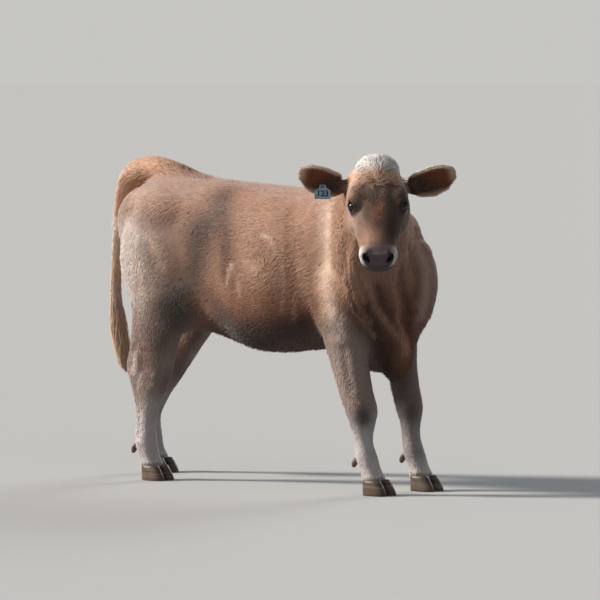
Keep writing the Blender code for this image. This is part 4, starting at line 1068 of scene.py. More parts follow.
def colour_of(p, n, w):
    """Colour of coat and skin at a place, linear."""
    h = in_head(p)
    x, y, z = p.T
    ay = np.abs(y)
    big = noise(p, 7, 21)
    mid = noise(p, 22, 22)
    small = noise(p, 70, 23)
    c = np.repeat(TAN[None], len(p), 0)
    # trunk: paler along the back, redder and darker low on the side and under the belly, partly the coat's own colour
    # and partly painted shade
    c = mix(c, srgb(170, 124, 98), smoothstep(z + 0.03 * mid, 0.80, 0.92) * 0.75)
    c = mix(c, srgb(192, 162, 150), smoothstep(z + 0.03 * big, 1.00, 1.09) * 0.75)
    low = smoothstep(-z + 0.04 * big, -0.84, -0.60)
    c = mix(c, RED, low * 0.85 * smoothstep(x, -0.42, -0.20))
    c = mix(c, RUST_AND_SHADE, smoothstep(-z + 0.03 * mid, -0.68, -0.55) * 0.90 * smoothstep(x, -0.30, -0.12))
    m_ = np.stack([x, ay, z], 1)
    near_to = lambda line, width: Line(line, width)(m_)
    right = lambda line, width: Line(line, width)(p)
    # darker down the loin into the hollow of the flank, stronger on the right: partly darker hair, partly painted shade
    # in the hollow
    loin = [(-0.165, 0.128, 1.044), (-0.137, 0.170, 0.982), (-0.100, 0.200, 0.919), (-0.085, 0.215, 0.860), (-0.080, 0.222, 0.800)]
    c = mix(c, srgb(118, 76, 56), near_to(loin, 0.066) * 0.60)
    c = mix(c, srgb(76, 46, 33), right([(a_, -b_, c_) for a_, b_, c_ in loin], 0.055) * 0.62)
    # painted shade along the lower flank and under the belly, over its redder hair
    c = mix(c, RUST_AND_SHADE, near_to([(-0.161, 0.186, 0.674), (-0.091, 0.189, 0.612), (-0.018, 0.182, 0.573), (0.060, 0.160, 0.545)], 0.050) * 0.55)
    c = mix(c, srgb(50, 29, 21), near_to([(-0.130, 0.170, 0.600), (-0.040, 0.165, 0.548), (0.060, 0.160, 0.535), (0.160, 0.178, 0.560), (0.250, 0.180, 0.590)], 0.055) * 0.90)
    c = mix(c, RED, near_to([(-0.020, 0.225, 0.690), (0.080, 0.235, 0.670), (0.200, 0.225, 0.690)], 0.070) * 0.45)
    # thighs and rump greyer and paler, more so behind, where the paleness is partly a painted highlight of the light
    # falling on the rear
    thigh = smoothstep(-x + 0.03 * big, 0.24, 0.44) * smoothstep(1.06 - z + 0.02 * mid, 0.0, 0.18)
    c = mix(c, DUN, thigh * 0.85)
    c = mix(c, CREAM, smoothstep(-x + 0.03 * mid, 0.42, 0.60) * smoothstep(1.10 - z + 0.02 * mid, 0.0, 0.30) * smoothstep(z + 0.03 * mid, 0.50, 0.72) * 0.95)
    # painted shade in the hollow in front of the thigh and under it, over somewhat darker hair
    c = mix(c, srgb(60, 45, 39), near_to([(-0.225, 0.195, 0.940), (-0.240, 0.205, 0.840), (-0.265, 0.210, 0.760), (-0.315, 0.212, 0.690), (-0.350, 0.212, 0.600)], 0.075) * 0.90)
    c = mix(c, srgb(40, 32, 29), cloud(m_, (-0.350, 0.215, 0.655), (0.080, 0.10, 0.080)) * 0.90)
    c = mix(c, PALE_TAN, near_to([(-0.215, 0.190, 0.640), (-0.205, 0.185, 0.600), (-0.190, 0.180, 0.565)], 0.022) * 0.60)
    # pale streaks: partly painted sheen on the ribs, painted highlights on the thigh
    for line, width, much in STREAKS:
        c = mix(c, srgb(226, 192, 168), right(line, width) * much)
    # neck and chest
    neck = w[:, 1]
    c = mix(c, mix(np.repeat(TAN[None], len(p), 0), RED, smoothstep(-z + 0.05 * big, -0.82, -0.60) * 0.55), neck)
    # darker low on the front of the chest: partly redder hair, partly painted shade under the brisket
    front = smoothstep(x, 0.44, 0.56) * (w[:, 0] + w[:, 1])
    c = mix(c, srgb(146, 102, 78), front * smoothstep(-z, -0.80, -0.56) * 0.8)
    both = w[:, 0] + w[:, 1]
    # paler on the left of the chest and shoulder: partly painted rim light
    c = mix(c, srgb(222, 206, 202), smoothstep(x, 0.36, 0.48) * smoothstep(y, 0.05, 0.16) * 0.8 * both)
    # painted highlight: a pale band down the shoulder where the light falls
    c = mix(c, srgb(242, 210, 186), near_to([(0.369, 0.184, 1.000), (0.376, 0.196, 0.902), (0.371, 0.200, 0.812), (0.388, 0.208, 0.726), (0.400, 0.201, 0.663)], 0.038) * 0.85 * both)
    c = mix(c, srgb(228, 208, 196), cloud(m_, (0.425, 0.205, 0.585), (0.048, 0.06, 0.060)) * 0.90)
    c = mix(c, srgb(214, 170, 142), cloud(m_, (0.490, 0.215, 0.760), (0.040, 0.06, 0.060)) * 0.55 * both)
    # painted shade over the darker red-brown hair of the brisket's side: in the hollow between forearm and brisket,
    # under the brisket and in the grooves between the neck's folds
    c = mix(c, srgb(50, 30, 22), near_to([(0.520, 0.166, 0.665), (0.522, 0.114, 0.587), (0.533, 0.082, 0.523), (0.520, 0.060, 0.450)], 0.052) * 0.92 * np.clip(both + w[:, 3:5].sum(1) * 0.4, 0, 1))
    c = mix(c, srgb(76, 43, 30), right([(0.575, -0.160, 0.745), (0.565, -0.115, 0.680), (0.582, -0.085, 0.630), (0.590, -0.062, 0.590)], 0.026) * 0.85 * both)
    c = mix(c, srgb(70, 46, 36), smoothstep(-z + 0.02 * mid, -0.50, -0.42) * smoothstep(x, 0.36, 0.46) * 0.7 * both)
    c = mix(c, srgb(70, 40, 28), right(FOLDS[4][0], 0.024) * 0.70 * both)
    c = mix(c, srgb(84, 52, 38), right(FOLDS[6][0], 0.022) * 0.50 * both)
    # painted highlights along the ridges of the dewlap and of the neck's folds
    c = mix(c, srgb(222, 172, 140), right(FOLDS[0][0][:7], 0.014) * 0.52 * both)
    c = mix(c, srgb(206, 150, 118), right(FOLDS[3][0], 0.009) * 0.60 * both)
    c = mix(c, srgb(222, 196, 182), right(FOLDS[5][0], 0.020) * 0.55 * both)
    for k_ in (8, 9, 10):
        c = mix(c, srgb(218, 168, 134), right(FOLDS[k_][0], 0.008) * 0.65 * both)
    # painted shade in the groove of this fold
    c = mix(c, srgb(84, 50, 34), right(FOLDS[11][0], 0.008) * 0.60 * both)
    # legs: greyish cream, paler down to the feet, dark over the knees
    legs = w[:, 3:7].sum(1)
    leg = mix(np.repeat(srgb(174, 150, 138)[None], len(p), 0), srgb(222, 210, 206), smoothstep(-z + 0.03 * mid, -0.36, -0.20))
    leg = mix(leg, RED, smoothstep(z, 0.50, 0.68) * 0.15)
    for name in LEGS:
        table, fx, fy, side, lean, thin = FEET[name]
        if name.startswith("fore"):
            leg = mix(leg, srgb(78, 66, 60), np.clip(blob(p, (fx + 0.012, fy - 0.036, 0.282), (0.034, 0.036, 0.042)) * 1.15, 0, 1) * 0.85)
            leg = mix(leg, srgb(206, 186, 176), np.clip(blob(p, (fx - 0.085, fy - 0.040, 0.440), (0.045, 0.050, 0.110)), 0, 1) * 0.4)
            leg = mix(leg, SMOKE, np.clip(blob(p, (fx + 0.060, fy, 0.150), (0.040, 0.045, 0.025)), 0, 1) * 0.25)
        else:
            k = lean * min(1.0, max(0.0, (0.40 - 0.20) / 0.48)) ** 1.2
            leg = mix(leg, SMOKE, np.clip(blob(p, (fx + k + 0.100, fy, 0.365), (0.035, 0.050, 0.050)), 0, 1) * 0.45)
            leg = mix(leg, srgb(168, 112, 80), np.clip(blob(p, (fx + k + 0.040, fy + side * 0.050, 0.440), (0.060, 0.030, 0.030)), 0, 1) * 0.45)
    c = mix(c, leg, np.clip(legs * 1.3, 0, 1) * (1 - 0.9 * smoothstep(z, 0.48, 0.70) * smoothstep(-x, 0.10, 0.20)))
    # inner sides of the legs redder: partly their own colour, partly painted shade between the legs
    inner = smoothstep(-n[:, 1] * np.sign(y), 0.2, 0.8) * legs
    c = mix(c, RED, inner * smoothstep(z, 0.30, 0.50) * 0.5)
    # painted shade under the thigh and down the gaskin, and on the inner side of the left foreleg
    c = mix(c, srgb(50, 40, 36), cloud(m_, (-0.350, 0.215, 0.630), (0.075, 0.10, 0.085)) * legs * 0.90)
    c = mix(c, srgb(112, 96, 90), w[:, 4] * smoothstep(-y, -0.19, -0.10) * smoothstep(z, 0.08, 0.14) * (1 - smoothstep(z, 0.50, 0.60)) * 0.55)
    c = mix(c, srgb(84, 66, 58), cloud(m_, (-0.420, 0.215, 0.530), (0.075, 0.06, 0.070)) * legs * 0.72)
    hind = w[:, 5:7].sum(1)
    c = mix(c, srgb(150, 92, 62), near_to([(-0.512, 0.205, 0.495), (-0.480, 0.212, 0.490), (-0.447, 0.212, 0.493)], 0.011) * 0.70 * hind)
    c = mix(c, srgb(98, 70, 58), near_to([(-0.503, 0.185, 0.385), (-0.440, 0.200, 0.378), (-0.375, 0.190, 0.384)], 0.008) * 0.70 * hind)
    # painted highlight on the point of the hock and painted shade in the groove in front of it
    c = mix(c, srgb(230, 212, 206), cloud(m_, (-0.556, 0.190, 0.425), (0.022, 0.05, 0.060)) * 0.85 * hind)
    c = mix(c, srgb(104, 80, 72), cloud(m_, (-0.522, 0.205, 0.435), (0.013, 0.05, 0.036)) * 0.75 * hind)
    # groin and between the legs
    c = mix(c, HIDE * 0.7, np.clip(blob(np.stack([x, ay, z], 1), (-0.260, 0.06, 0.545), (0.09, 0.08, 0.05)), 0, 1) * 0.6)
    # head
    head = mix(np.repeat(TAN[None], len(p), 0), srgb(150, 116, 96), smoothstep(h[:, 2], -0.12, -0.04) * smoothstep(h[:, 0], 0.05, 0.12))
    ah = np.stack([h[:, 0], np.abs(h[:, 1]), h[:, 2]], 1)
    head = mix(head, srgb(150, 122, 108), np.clip(cloud(h + 0.006 * mid[:, None], (0.125, -0.010, -0.005), (0.060, 0.090, 0.06)) * 1.1, 0, 1) * 0.75)
    head = mix(head, srgb(104, 82, 72), np.clip(cloud(h + 0.010 * mid[:, None], (0.168, -0.038, -0.010), (0.050, 0.034, 0.05)) * 1.1, 0, 1) * 0.45)
    head = mix(head, srgb(92, 70, 60), np.clip(cloud(h + 0.010 * mid[:, None], (0.165, 0.045, -0.010), (0.055, 0.038, 0.05)) * 1.1, 0, 1) * 0.60)
    # partly painted shade: dark along the left of the face, over darker hair
    head = mix(head, srgb(70, 50, 42), np.clip(cloud(h + 0.008 * mid[:, None], (0.262, 0.046, -0.045), (0.085, 0.026, 0.06)) * 1.1, 0, 1) * 0.88)
    head = mix(head, srgb(70, 50, 42), np.clip(cloud(h + 0.006 * mid[:, None], (0.215, -0.038, -0.030), (0.040, 0.018, 0.05)) * 1.1, 0, 1) * 0.75)
    head = mix(head, srgb(160, 98, 68), np.clip(blob(h + 0.006 * small[:, None], (0.208, 0.002, -0.015), (0.036, 0.020, 0.04)), 0, 1) * 0.75)
    head = mix(head, srgb(112, 74, 58), np.clip(blob(h, (0.255, -0.004, -0.030), (0.030, 0.016, 0.04)), 0, 1) * 0.55)
    # partly painted light and shade over the face's own colour: lighter on the head's right side, where the light
    # falls, darker on its left
    head = mix(head, srgb(196, 148, 124), np.clip(cloud(h + 0.006 * mid[:, None], (0.300, -0.036, -0.050), (0.050, 0.030, 0.05)) * 1.1, 0, 1) * 0.75)
    head = mix(head, TAN, smoothstep(-h[:, 1], 0.055, 0.085) * 0.6)
    head = mix(head, srgb(150, 112, 92), smoothstep(h[:, 1], 0.055, 0.085) * 0.6)
    head = mix(head, srgb(66, 48, 40), np.clip(cloud(h + 0.008 * mid[:, None], (0.225, 0.078, -0.085), (0.090, 0.034, 0.065)) * 1.2, 0, 1) * 0.80)
    head = mix(head, srgb(84, 66, 58), np.clip(cloud(h + 0.006 * mid[:, None], (0.145, 0.066, -0.020), (0.040, 0.032, 0.045)) * 1.1, 0, 1) * 0.60)
    head = mix(head, srgb(206, 164, 140), np.clip(cloud(h + 0.006 * mid[:, None], (0.315, -0.012, -0.045), (0.040, 0.022, 0.05)) * 1.1, 0, 1) * 0.55)
    head = mix(head, PALE_TAN, smoothstep(-h[:, 2], 0.15, 0.22) * 0.5)
    down = 0.716 * h[:, 0] - 0.70 * h[:, 2] + 0.012 * mid + 0.006 * small
    poll = (1 - smoothstep(down, 0.050, 0.088)) * smoothstep(h[:, 2], -0.120, -0.080)
    sides = smoothstep(np.abs(h[:, 1] + 0.010 * mid), 0.058, 0.088)
    crown = mix(np.repeat(srgb(250, 245, 240)[None], len(p), 0), srgb(204, 156, 124), np.clip(smoothstep(down, 0.010, 0.046) * 0.85 + sides * 0.75, 0, 0.9))
    crown = mix(crown, srgb(212, 168, 138), smoothstep(noise(p, 30, 61), 0.15, 0.6) * 0.30)
    head = mix(head, crown, poll * 0.94)
    head = mix(head, CREAM, np.clip(blob(ah, (0.095, 0.082, -0.020), (0.030, 0.022, 0.04)), 0, 1) * 0.20)
    # painted highlight along the lit edge of the right cheek
    head = mix(head, srgb(232, 206, 186), np.clip(blob(h, (0.215, -0.088, -0.085), (0.070, 0.018, 0.035)), 0, 1) * 0.55)
    ring = smoothstep(h[:, 0] + 0.004 * mid + 0.010 * smoothstep(np.abs(h[:, 1]), 0.03, 0.06), 0.330, 0.352)
    ring = ring * (1 - 0.90 * smoothstep(h[:, 2] + 0.003 * mid, -0.080, -0.058)) * (1 - 0.92 * smoothstep(-h[:, 2] + 0.002 * mid, 0.108, 0.126))
    # dark round the mouth: the dark lips, and painted shade under the nose pad
    head = mix(head, srgb(36, 26, 24), smoothstep(-h[:, 2], 0.112, 0.126) * (1 - smoothstep(-h[:, 2], 0.150, 0.160)) * smoothstep(h[:, 0], 0.325, 0.350) * 0.85)
    head = mix(head, srgb(160, 124, 112), smoothstep(h[:, 0], 0.318, 0.345) * smoothstep(h[:, 2], -0.080, -0.058) * 0.60)
    head = mix(head, WHITE, ring * 0.92)
    head = mix(head, srgb(206, 158, 112), smoothstep(-h[:, 2], 0.146, 0.160) * smoothstep(h[:, 0], 0.22, 0.28) * 0.8)
    # pale hair and dark rims round the eyes
    for s in (-1, 1):
        o, m = np.array([EYE[0], s * EYE[1], EYE[2]]), eye_axes(s)
        q = (h - o) @ m
        r = np.sqrt((q[:, 0] / 0.030) ** 2 + (q[:, 1] / 0.024) ** 2) + 0.06 * mid
        facing = smoothstep(q[:, 2], -0.004, 0.004)
        head = mix(head, srgb(62, 46, 40), (1 - smoothstep(r, 0.85, 1.60)) * facing * 0.72)
        under = (1 - smoothstep(np.sqrt(((q[:, 0] - 0.008) / 0.024) ** 2 + ((q[:, 1] + 0.023) / 0.009) ** 2), 0.3, 1.3)) * facing
        head = mix(head, CREAM, under * 0.75)
        rim = np.maximum(np.abs(q[:, 1] - 0.0005) / (np.clip(1 - (q[:, 0] / 0.0185) ** 2, 0.02, 1) ** 0.75 * 0.0110), np.abs(q[:, 0]) / 0.0185)
        head = mix(head, srgb(52, 36, 32), (1 - smoothstep(rim, 1.10, 1.34)) * facing)
    pad = pad_mask(h)
    tone = mix(np.repeat(PAD[None], len(p), 0), srgb(92, 74, 78), np.clip(0.5 + 0.5 * noise(p, 60, 31), 0, 1))
    # the lower part of the pad near-black: partly painted shade on its underside
    tone = mix(tone, srgb(26, 18, 18), smoothstep(-h[:, 2], 0.096, 0.116) * 0.90)
    tone = mix(tone, srgb(150, 124, 126), smoothstep(h[:, 2], -0.078, -0.062) * 0.5)
    for s in (-1, 1):
        tone = mix(tone, srgb(24, 14, 15), np.clip(blob(np.stack([h[:, 0], h[:, 1] * s, h[:, 2]], 1), (0.372, 0.044, -0.080), (0.018, 0.011, 0.013)) * 2.0, 0, 1))
        tone = mix(tone, srgb(24, 14, 15), np.clip(blob(np.stack([h[:, 0], h[:, 1] * s, h[:, 2]], 1), (0.362, 0.044, -0.080), (0.012, 0.018, 0.018)) * 1.6, 0, 1))
    head = mix(head, tone, pad)
    lip = np.clip(1 - smoothstep(np.abs(h[:, 2] + 0.139), 0.004, 0.012), 0, 1) * smoothstep(h[:, 0], 0.300, 0.36)
    head = mix(head, PAD_DARK, lip * 0.85)
    c = mix(c, head, w[:, 2])
    # ears: dark inside, pale at the rim and outside; the pale rim is partly a painted glow of light through its hair
    for i, s in ((7, -1), (8, 1)):
        o = HEAD_AT + HEAD_AXES @ np.array([0.035, s * 0.085, -0.085])
        q = (p - o) @ ear_frame(s)
        u = np.clip(q[:, 0] / EAR_LENGTH, 0, 1)
        half = np.interp(u, [0, 0.3, 0.55, 0.8, 0.94, 1.0], [0.034, 0.046, 0.055, 0.047, 0.028, 0.012])
        edge = np.abs(q[:, 1] + 0.005) / half
        hollow = smoothstep(n @ ear_frame(s)[:, 2], -0.10, 0.35) * (1 - smoothstep(edge + 0.06 * mid, 0.56, 0.80)) * (1 - smoothstep(u + 0.03 * mid, 0.74, 0.92)) * smoothstep(q[:, 0], 0.0, 0.03)
        ear = mix(np.repeat(srgb(200, 150, 118)[None], len(p), 0), srgb(244, 222, 202), smoothstep(edge + 0.10 * np.sign(q[:, 1]), 0.66, 0.90) * smoothstep(u, 0.1, 0.5))
        ear = mix(ear, srgb(246, 224, 206), smoothstep(u, 0.86, 0.97) * 0.85)
        ear = mix(ear, EAR_DARK, hollow)
        ear = mix(ear, srgb(150, 78, 46), hollow * smoothstep(u + 0.25 * q[:, 1] / half, 0.30, 0.75) * 0.80)
        c = mix(c, ear, w[:, i])
    # tail: orange tan, paler behind, where the light falls, and darker on the side facing the rump, partly painted
    # light and shade
    tail = mix(np.repeat(srgb(226, 182, 152)[None], len(p), 0), srgb(236, 214, 196), smoothstep(-n[:, 0] + 0.3 * mid, 0.1, 0.8) * 0.7)
    tail = mix(tail, srgb(190, 150, 128), smoothstep(n[:, 2], 0.3, 0.9) * 0.7)
    tail = mix(tail, srgb(140, 96, 74), smoothstep(x, -0.58, -0.42) * 0.85)
    tail = mix(tail, srgb(242, 218, 198), smoothstep(z, 0.55, 0.70) * (1 - smoothstep(z, 0.95, 1.03)) * 0.55)
    tail = mix(tail, srgb(138, 86, 56), smoothstep(n[:, 0] + 0.3 * mid, 0.4, 0.95) * smoothstep(-z, -1.05, -0.80) * 0.35)
    tail = mix(tail, srgb(156, 108, 76), smoothstep(-z + 0.02 * mid, -0.56, -0.42) * 0.6)
    c = mix(c, tail, w[:, 9])
    return np.clip(c * (1 + 0.05 * big + 0.05 * mid + 0.05 * small)[:, None], 0.004, 0.95)


def bare_of(p, w):
    """1 where the skin is bare and moist, 0 under hair."""
    h = in_head(p)
    bare = pad_mask(h)
    lip = np.clip(1 - smoothstep(np.abs(h[:, 2] + 0.139), 0.003, 0.008), 0, 1) * smoothstep(h[:, 0], 0.31, 0.36)
    for s in (-1, 1):
        o, m = np.array([EYE[0], s * EYE[1], EYE[2]]), eye_axes(s)
        q = (h - o) @ m
        rim = np.maximum(np.abs(q[:, 1] - 0.0005) / (np.clip(1 - (q[:, 0] / 0.0185) ** 2, 0.02, 1) ** 0.75 * 0.0110), np.abs(q[:, 0]) / 0.0185)
        bare = np.maximum(bare, (1 - smoothstep(rim, 1.06, 1.26)) * smoothstep(q[:, 2], 0.0, 0.006))
    return np.maximum(bare, lip) * w[:, 2]


soft = weights.copy()
for _ in range(30):
    soft = 0.5 * (soft + spread(soft, edges, count))
sharp = np.clip(weights[:, 7:].sum(1) * 1.5, 0, 1)[:, None]
soft = soft * (1 - sharp) + weights * sharp
soft[:, 7:] = weights[:, 7:]
soft /= soft.sum(1, keepdims=True)
lie = lie_of(points, normals, weights)
for _ in range(3):
    lie = unit(lie + 0.8 * spread(lie, edges, count))
colour = colour_of(points, normals, soft)
bare = bare_of(points, weights)


# ---------------------------------------------------------------------------
# An unwrap of the skin: each body part and each of its six sides has its own patch of the map
# ---------------------------------------------------------------------------
def unwrap(p, n, w):
    """Which chart each place belongs to, and where it is on it, in metres."""
    part = w.argmax(1)
    turned = np.where((part == 2)[:, None], p @ HEAD_AXES, p)
    tn = np.where((part == 2)[:, None], n @ HEAD_AXES, n)
    for i, s in ((7, -1), (8, 1)):
        on = part == i
        turned[on], tn[on] = p[on] @ ear_frame(s), n[on] @ ear_frame(s)
    axis = np.abs(tn).argmax(1)
    positive = np.take_along_axis(tn, axis[:, None], 1)[:, 0] > 0
    a, b = np.where(axis == 0, 1, 0), np.where(axis == 2, 1, 2)
    flat = np.stack([np.take_along_axis(turned, a[:, None], 1)[:, 0], np.take_along_axis(turned, b[:, None], 1)[:, 0]], 1)
    return part * 6 + axis * 2 + positive, flat


def pack_charts(chart, flat):
    """Shelf packing: the corner of each chart, its low corner and the common scale."""
    ids = np.unique(chart)
    low = {i: flat[chart == i].min(0) for i in ids}
    size = {i: flat[chart == i].max(0) - low[i] + 0.02 for i in ids}
    order = sorted(ids, key=lambda i: -size[i][1])
    for scale in np.arange(0.60, 0.10, -0.01):
        x = y = shelf = 0.0
        at = {}
        for i in order:
            w, h = size[i] * scale
            if x + w > 1:
                x, y, shelf = 0.0, y + shelf, 0.0
            if x + w > 1 or y + h > 1:
                break
            at[i] = np.array([x, y])
            x, shelf = x + w, max(shelf, h)
        else:
            return {i: (at[i] + 0.008 * scale, low[i]) for i in ids}, scale
    raise ValueError("the charts don't fit")


me = skin.data
poly_n = np.empty(len(me.polygons) * 3, np.float32)
me.polygons.foreach_get("normal", poly_n)
poly_c = np.empty(len(me.polygons) * 3, np.float32)
me.polygons.foreach_get("center", poly_c)
poly_n, poly_c = poly_n.reshape(-1, 3).astype(float), poly_c.reshape(-1, 3).astype(float) - SHIFT
faces_v = [quads, tris]
poly_w = np.vstack([weights[f].mean(1) for f in faces_v if len(f)])
poly_chart, poly_flat = unwrap(poly_c, poly_n, poly_w)
charts, MAP_SCALE = pack_charts(poly_chart, poly_flat)


def map_place(chart, flat):
    ids = np.unique(chart)
    uv = np.empty((len(chart), 2))
    for i in ids:
        on = chart == i
        corner, low = charts[i]
        uv[on] = corner + (flat[on] - low) * MAP_SCALE
    return uv


def on_chart(p, chart):
    """Places p on the charts given, in metres."""
    part, axis = chart // 6, (chart % 6) // 2
    turned = np.where((part == 2)[:, None], p @ HEAD_AXES, p)
    for i, s in ((7, -1), (8, 1)):
        on = part == i
        turned[on] = p[on] @ ear_frame(s)
    a, b = np.where(axis == 0, 1, 0), np.where(axis == 2, 1, 2)
    return np.stack([np.take_along_axis(turned, a[:, None], 1)[:, 0], np.take_along_axis(turned, b[:, None], 1)[:, 0]], 1)


loops_v = np.concatenate([quads.ravel(), tris.ravel()])
loops_chart = np.concatenate([np.repeat(poly_chart[:len(quads)], 4), np.repeat(poly_chart[len(quads):], 3)])
uv = map_place(loops_chart, on_chart(points[loops_v], loops_chart))
me.uv_layers.new(name="OFBake").data.foreach_set("uv", uv.astype(np.float32).ravel())


def put_colour(me, name, rgb):
    at = me.color_attributes.new(name, "FLOAT_COLOR", "POINT")
    at.data.foreach_set("color", np.concatenate([rgb, np.ones((len(rgb), 1))], 1).astype(np.float32).ravel())


def put_value(me, name, values):
    at = me.attributes.new(name, "FLOAT", "POINT")
    at.data.foreach_set("value", np.asarray(values, np.float32))


def put_vector(me, name, values):
    at = me.attributes.new(name, "FLOAT_VECTOR", "POINT")
    at.data.foreach_set("vector", np.asarray(values, np.float32).ravel())


def fur_place(p, t):
    """Coordinates squeezed along the hair, so that a noise in them streaks that way."""
    return p - 0.86 * (p * t).sum(1, keepdims=True) * t


put_colour(me, "Col", colour)
put_value(me, "bare", bare)
put_vector(me, "fur", fur_place(points, lie))


# ---------------------------------------------------------------------------
# The coat: locks of hair, as solid mesh
# ---------------------------------------------------------------------------
tri_v = np.vstack([quads[:, [0, 1, 2]], quads[:, [0, 2, 3]], tris])
tri_chart = np.concatenate([poly_chart[:len(quads)], poly_chart[:len(quads)], poly_chart[len(quads):]])
tri_area = 0.5 * np.linalg.norm(np.cross(points[tri_v[:, 1]] - points[tri_v[:, 0]], points[tri_v[:, 2]] - points[tri_v[:, 0]]), axis=1)
inside_s = np.clip(inside, 0.0, 0.05)


def scatter(density, most=None):
    """Roots spread evenly over the skin, at `density` a square metre, given at every vertex."""
    want = tri_area * density[tri_v].mean(1)
    total = want.sum()
    if most and total > most:
        want *= most / total
    run = np.cumsum(want)
    count_ = int(run[-1])
    at = (np.arange(count_) + RNG.random(count_)) * (run[-1] / count_)
    t = np.searchsorted(run, at).clip(0, len(want) - 1)
    u, v = RNG.random(count_), RNG.random(count_)
    flip = u + v > 1
    u[flip], v[flip] = 1 - u[flip], 1 - v[flip]
    b = np.stack([1 - u - v, u, v], 1)
    pick = lambda a: (a[tri_v[t]] * (b[:, :, None] if a.ndim == 2 else b)).sum(1)
    r = dict(p=pick(points), n=unit(pick(normals)), t=pick(lie), w=pick(weights), s=pick(soft), c=pick(colour), room=pick(inside_s), chart=tri_chart[t])
    r["t"] = unit(r["t"] - (r["t"] * r["n"]).sum(1, keepdims=True) * r["n"])
    r["uv"] = map_place(r["chart"], on_chart(r["p"], r["chart"]))
    return r


def choose(r, keep):
    return {k: v[keep] for k, v in r.items()}


def coat_mesh(name, verts, faces, corner_normals, colours, uvs, fur, material):
    """verts (n, k, 3) and shared faces (m, 3) for n locks of k vertices each."""
    n, k = verts.shape[:2]
    f = (faces[None] + (np.arange(n) * k)[:, None, None]).reshape(-1, 3)
    ob = new_mesh(name, verts.reshape(-1, 3), f)
    me = ob.data
    put_colour(me, "Col", np.clip(colours.reshape(-1, 3), 0.003, 0.97))
    put_vector(me, "fur", fur.reshape(-1, 3))
    uv = uvs[:, faces.ravel()].reshape(-1, 2)
    me.uv_layers.new(name="OFBake").data.foreach_set("uv", uv.astype(np.float32).ravel())
    me.normals_split_custom_set(unit(corner_normals).reshape(-1, 3).astype(np.float32))
    me.materials.append(material)
    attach(ob, "root")
    return ob


PATCH = 0.003
FLAT_FACES = np.array([(0, 2, 3), (0, 3, 1), (2, 4, 3), (3, 4, 1), (0, 1, 2), (1, 4, 2)])


def flat_locks(name, r, length, width, material, low=0.06, high=0.30, shade=0.060):
    """Short locks that lie along the skin: a keeled leaf each, root 0, sides 1 and 2, keel 3, tip 4."""
    count_ = len(r["p"])
    rnd = lambda a, b: RNG.uniform(a, b, count_)
    turn_ = rnd(-0.22, 0.22)
    b0 = np.cross(r["n"], r["t"])
    t = unit(r["t"] + b0 * turn_[:, None])
    b = np.cross(r["n"], t)
    n = r["n"]
    L = (length * rnd(0.75, 1.25))[:, None]
    W = (width * rnd(0.75, 1.25))[:, None]
    room = np.clip(r["room"], 0.0006, 0.014)
    tip = (room * rnd(low, high))[:, None]
    tip = np.minimum(tip, 0.55 * L)
    side = (rnd(-0.12, 0.12))[:, None] * L
    root = r["p"] - n * np.minimum(0.0010, 0.4 * W)
    mid = r["p"] + t * L * 0.42 + n * tip * 0.42 + b * side * 0.3
    verts = np.stack([root, mid + b * W * 0.5 - n * W * 0.12, mid - b * W * 0.5 - n * W * 0.12, mid + n * W * 0.13,
                      r["p"] + t * L + n * tip + b * side], 1)
    tilt = RNG.normal(0, 0.06, (count_, 3))
    nn = unit(n + tilt)
    top = np.stack([nn - 0.12 * t, nn + 0.42 * b, nn - 0.42 * b, nn, nn + 0.15 * t], 1)
    corner = np.concatenate([top[:, FLAT_FACES[:4].ravel()], np.repeat(-n[:, None], 6, 1)], 1)
    bright = (1 + RNG.normal(0, shade, count_)).clip(0.6, 1.5)[:, None]
    warm = RNG.normal(0, 0.03, count_)[:, None] * np.array([1.0, 0.0, -1.0])
    c = r["c"] * bright * (1 + warm)
    colours = np.stack([c * 0.95, c * 0.99, c * 0.99, c * 1.01, c * 1.04], 1)
    place = np.array([(0.5, 0.0), (1.0, 0.42), (0.0, 0.42), (0.5, 0.45), (0.5, 1.0)]) - 0.5
    uvs = r["uv"][:, None] + place[None] * PATCH
    fur = verts - 0.86 * (verts * t[:, None]).sum(2, keepdims=True) * t[:, None]
    return coat_mesh(name, verts, FLAT_FACES, corner, colours, uvs, fur, material)


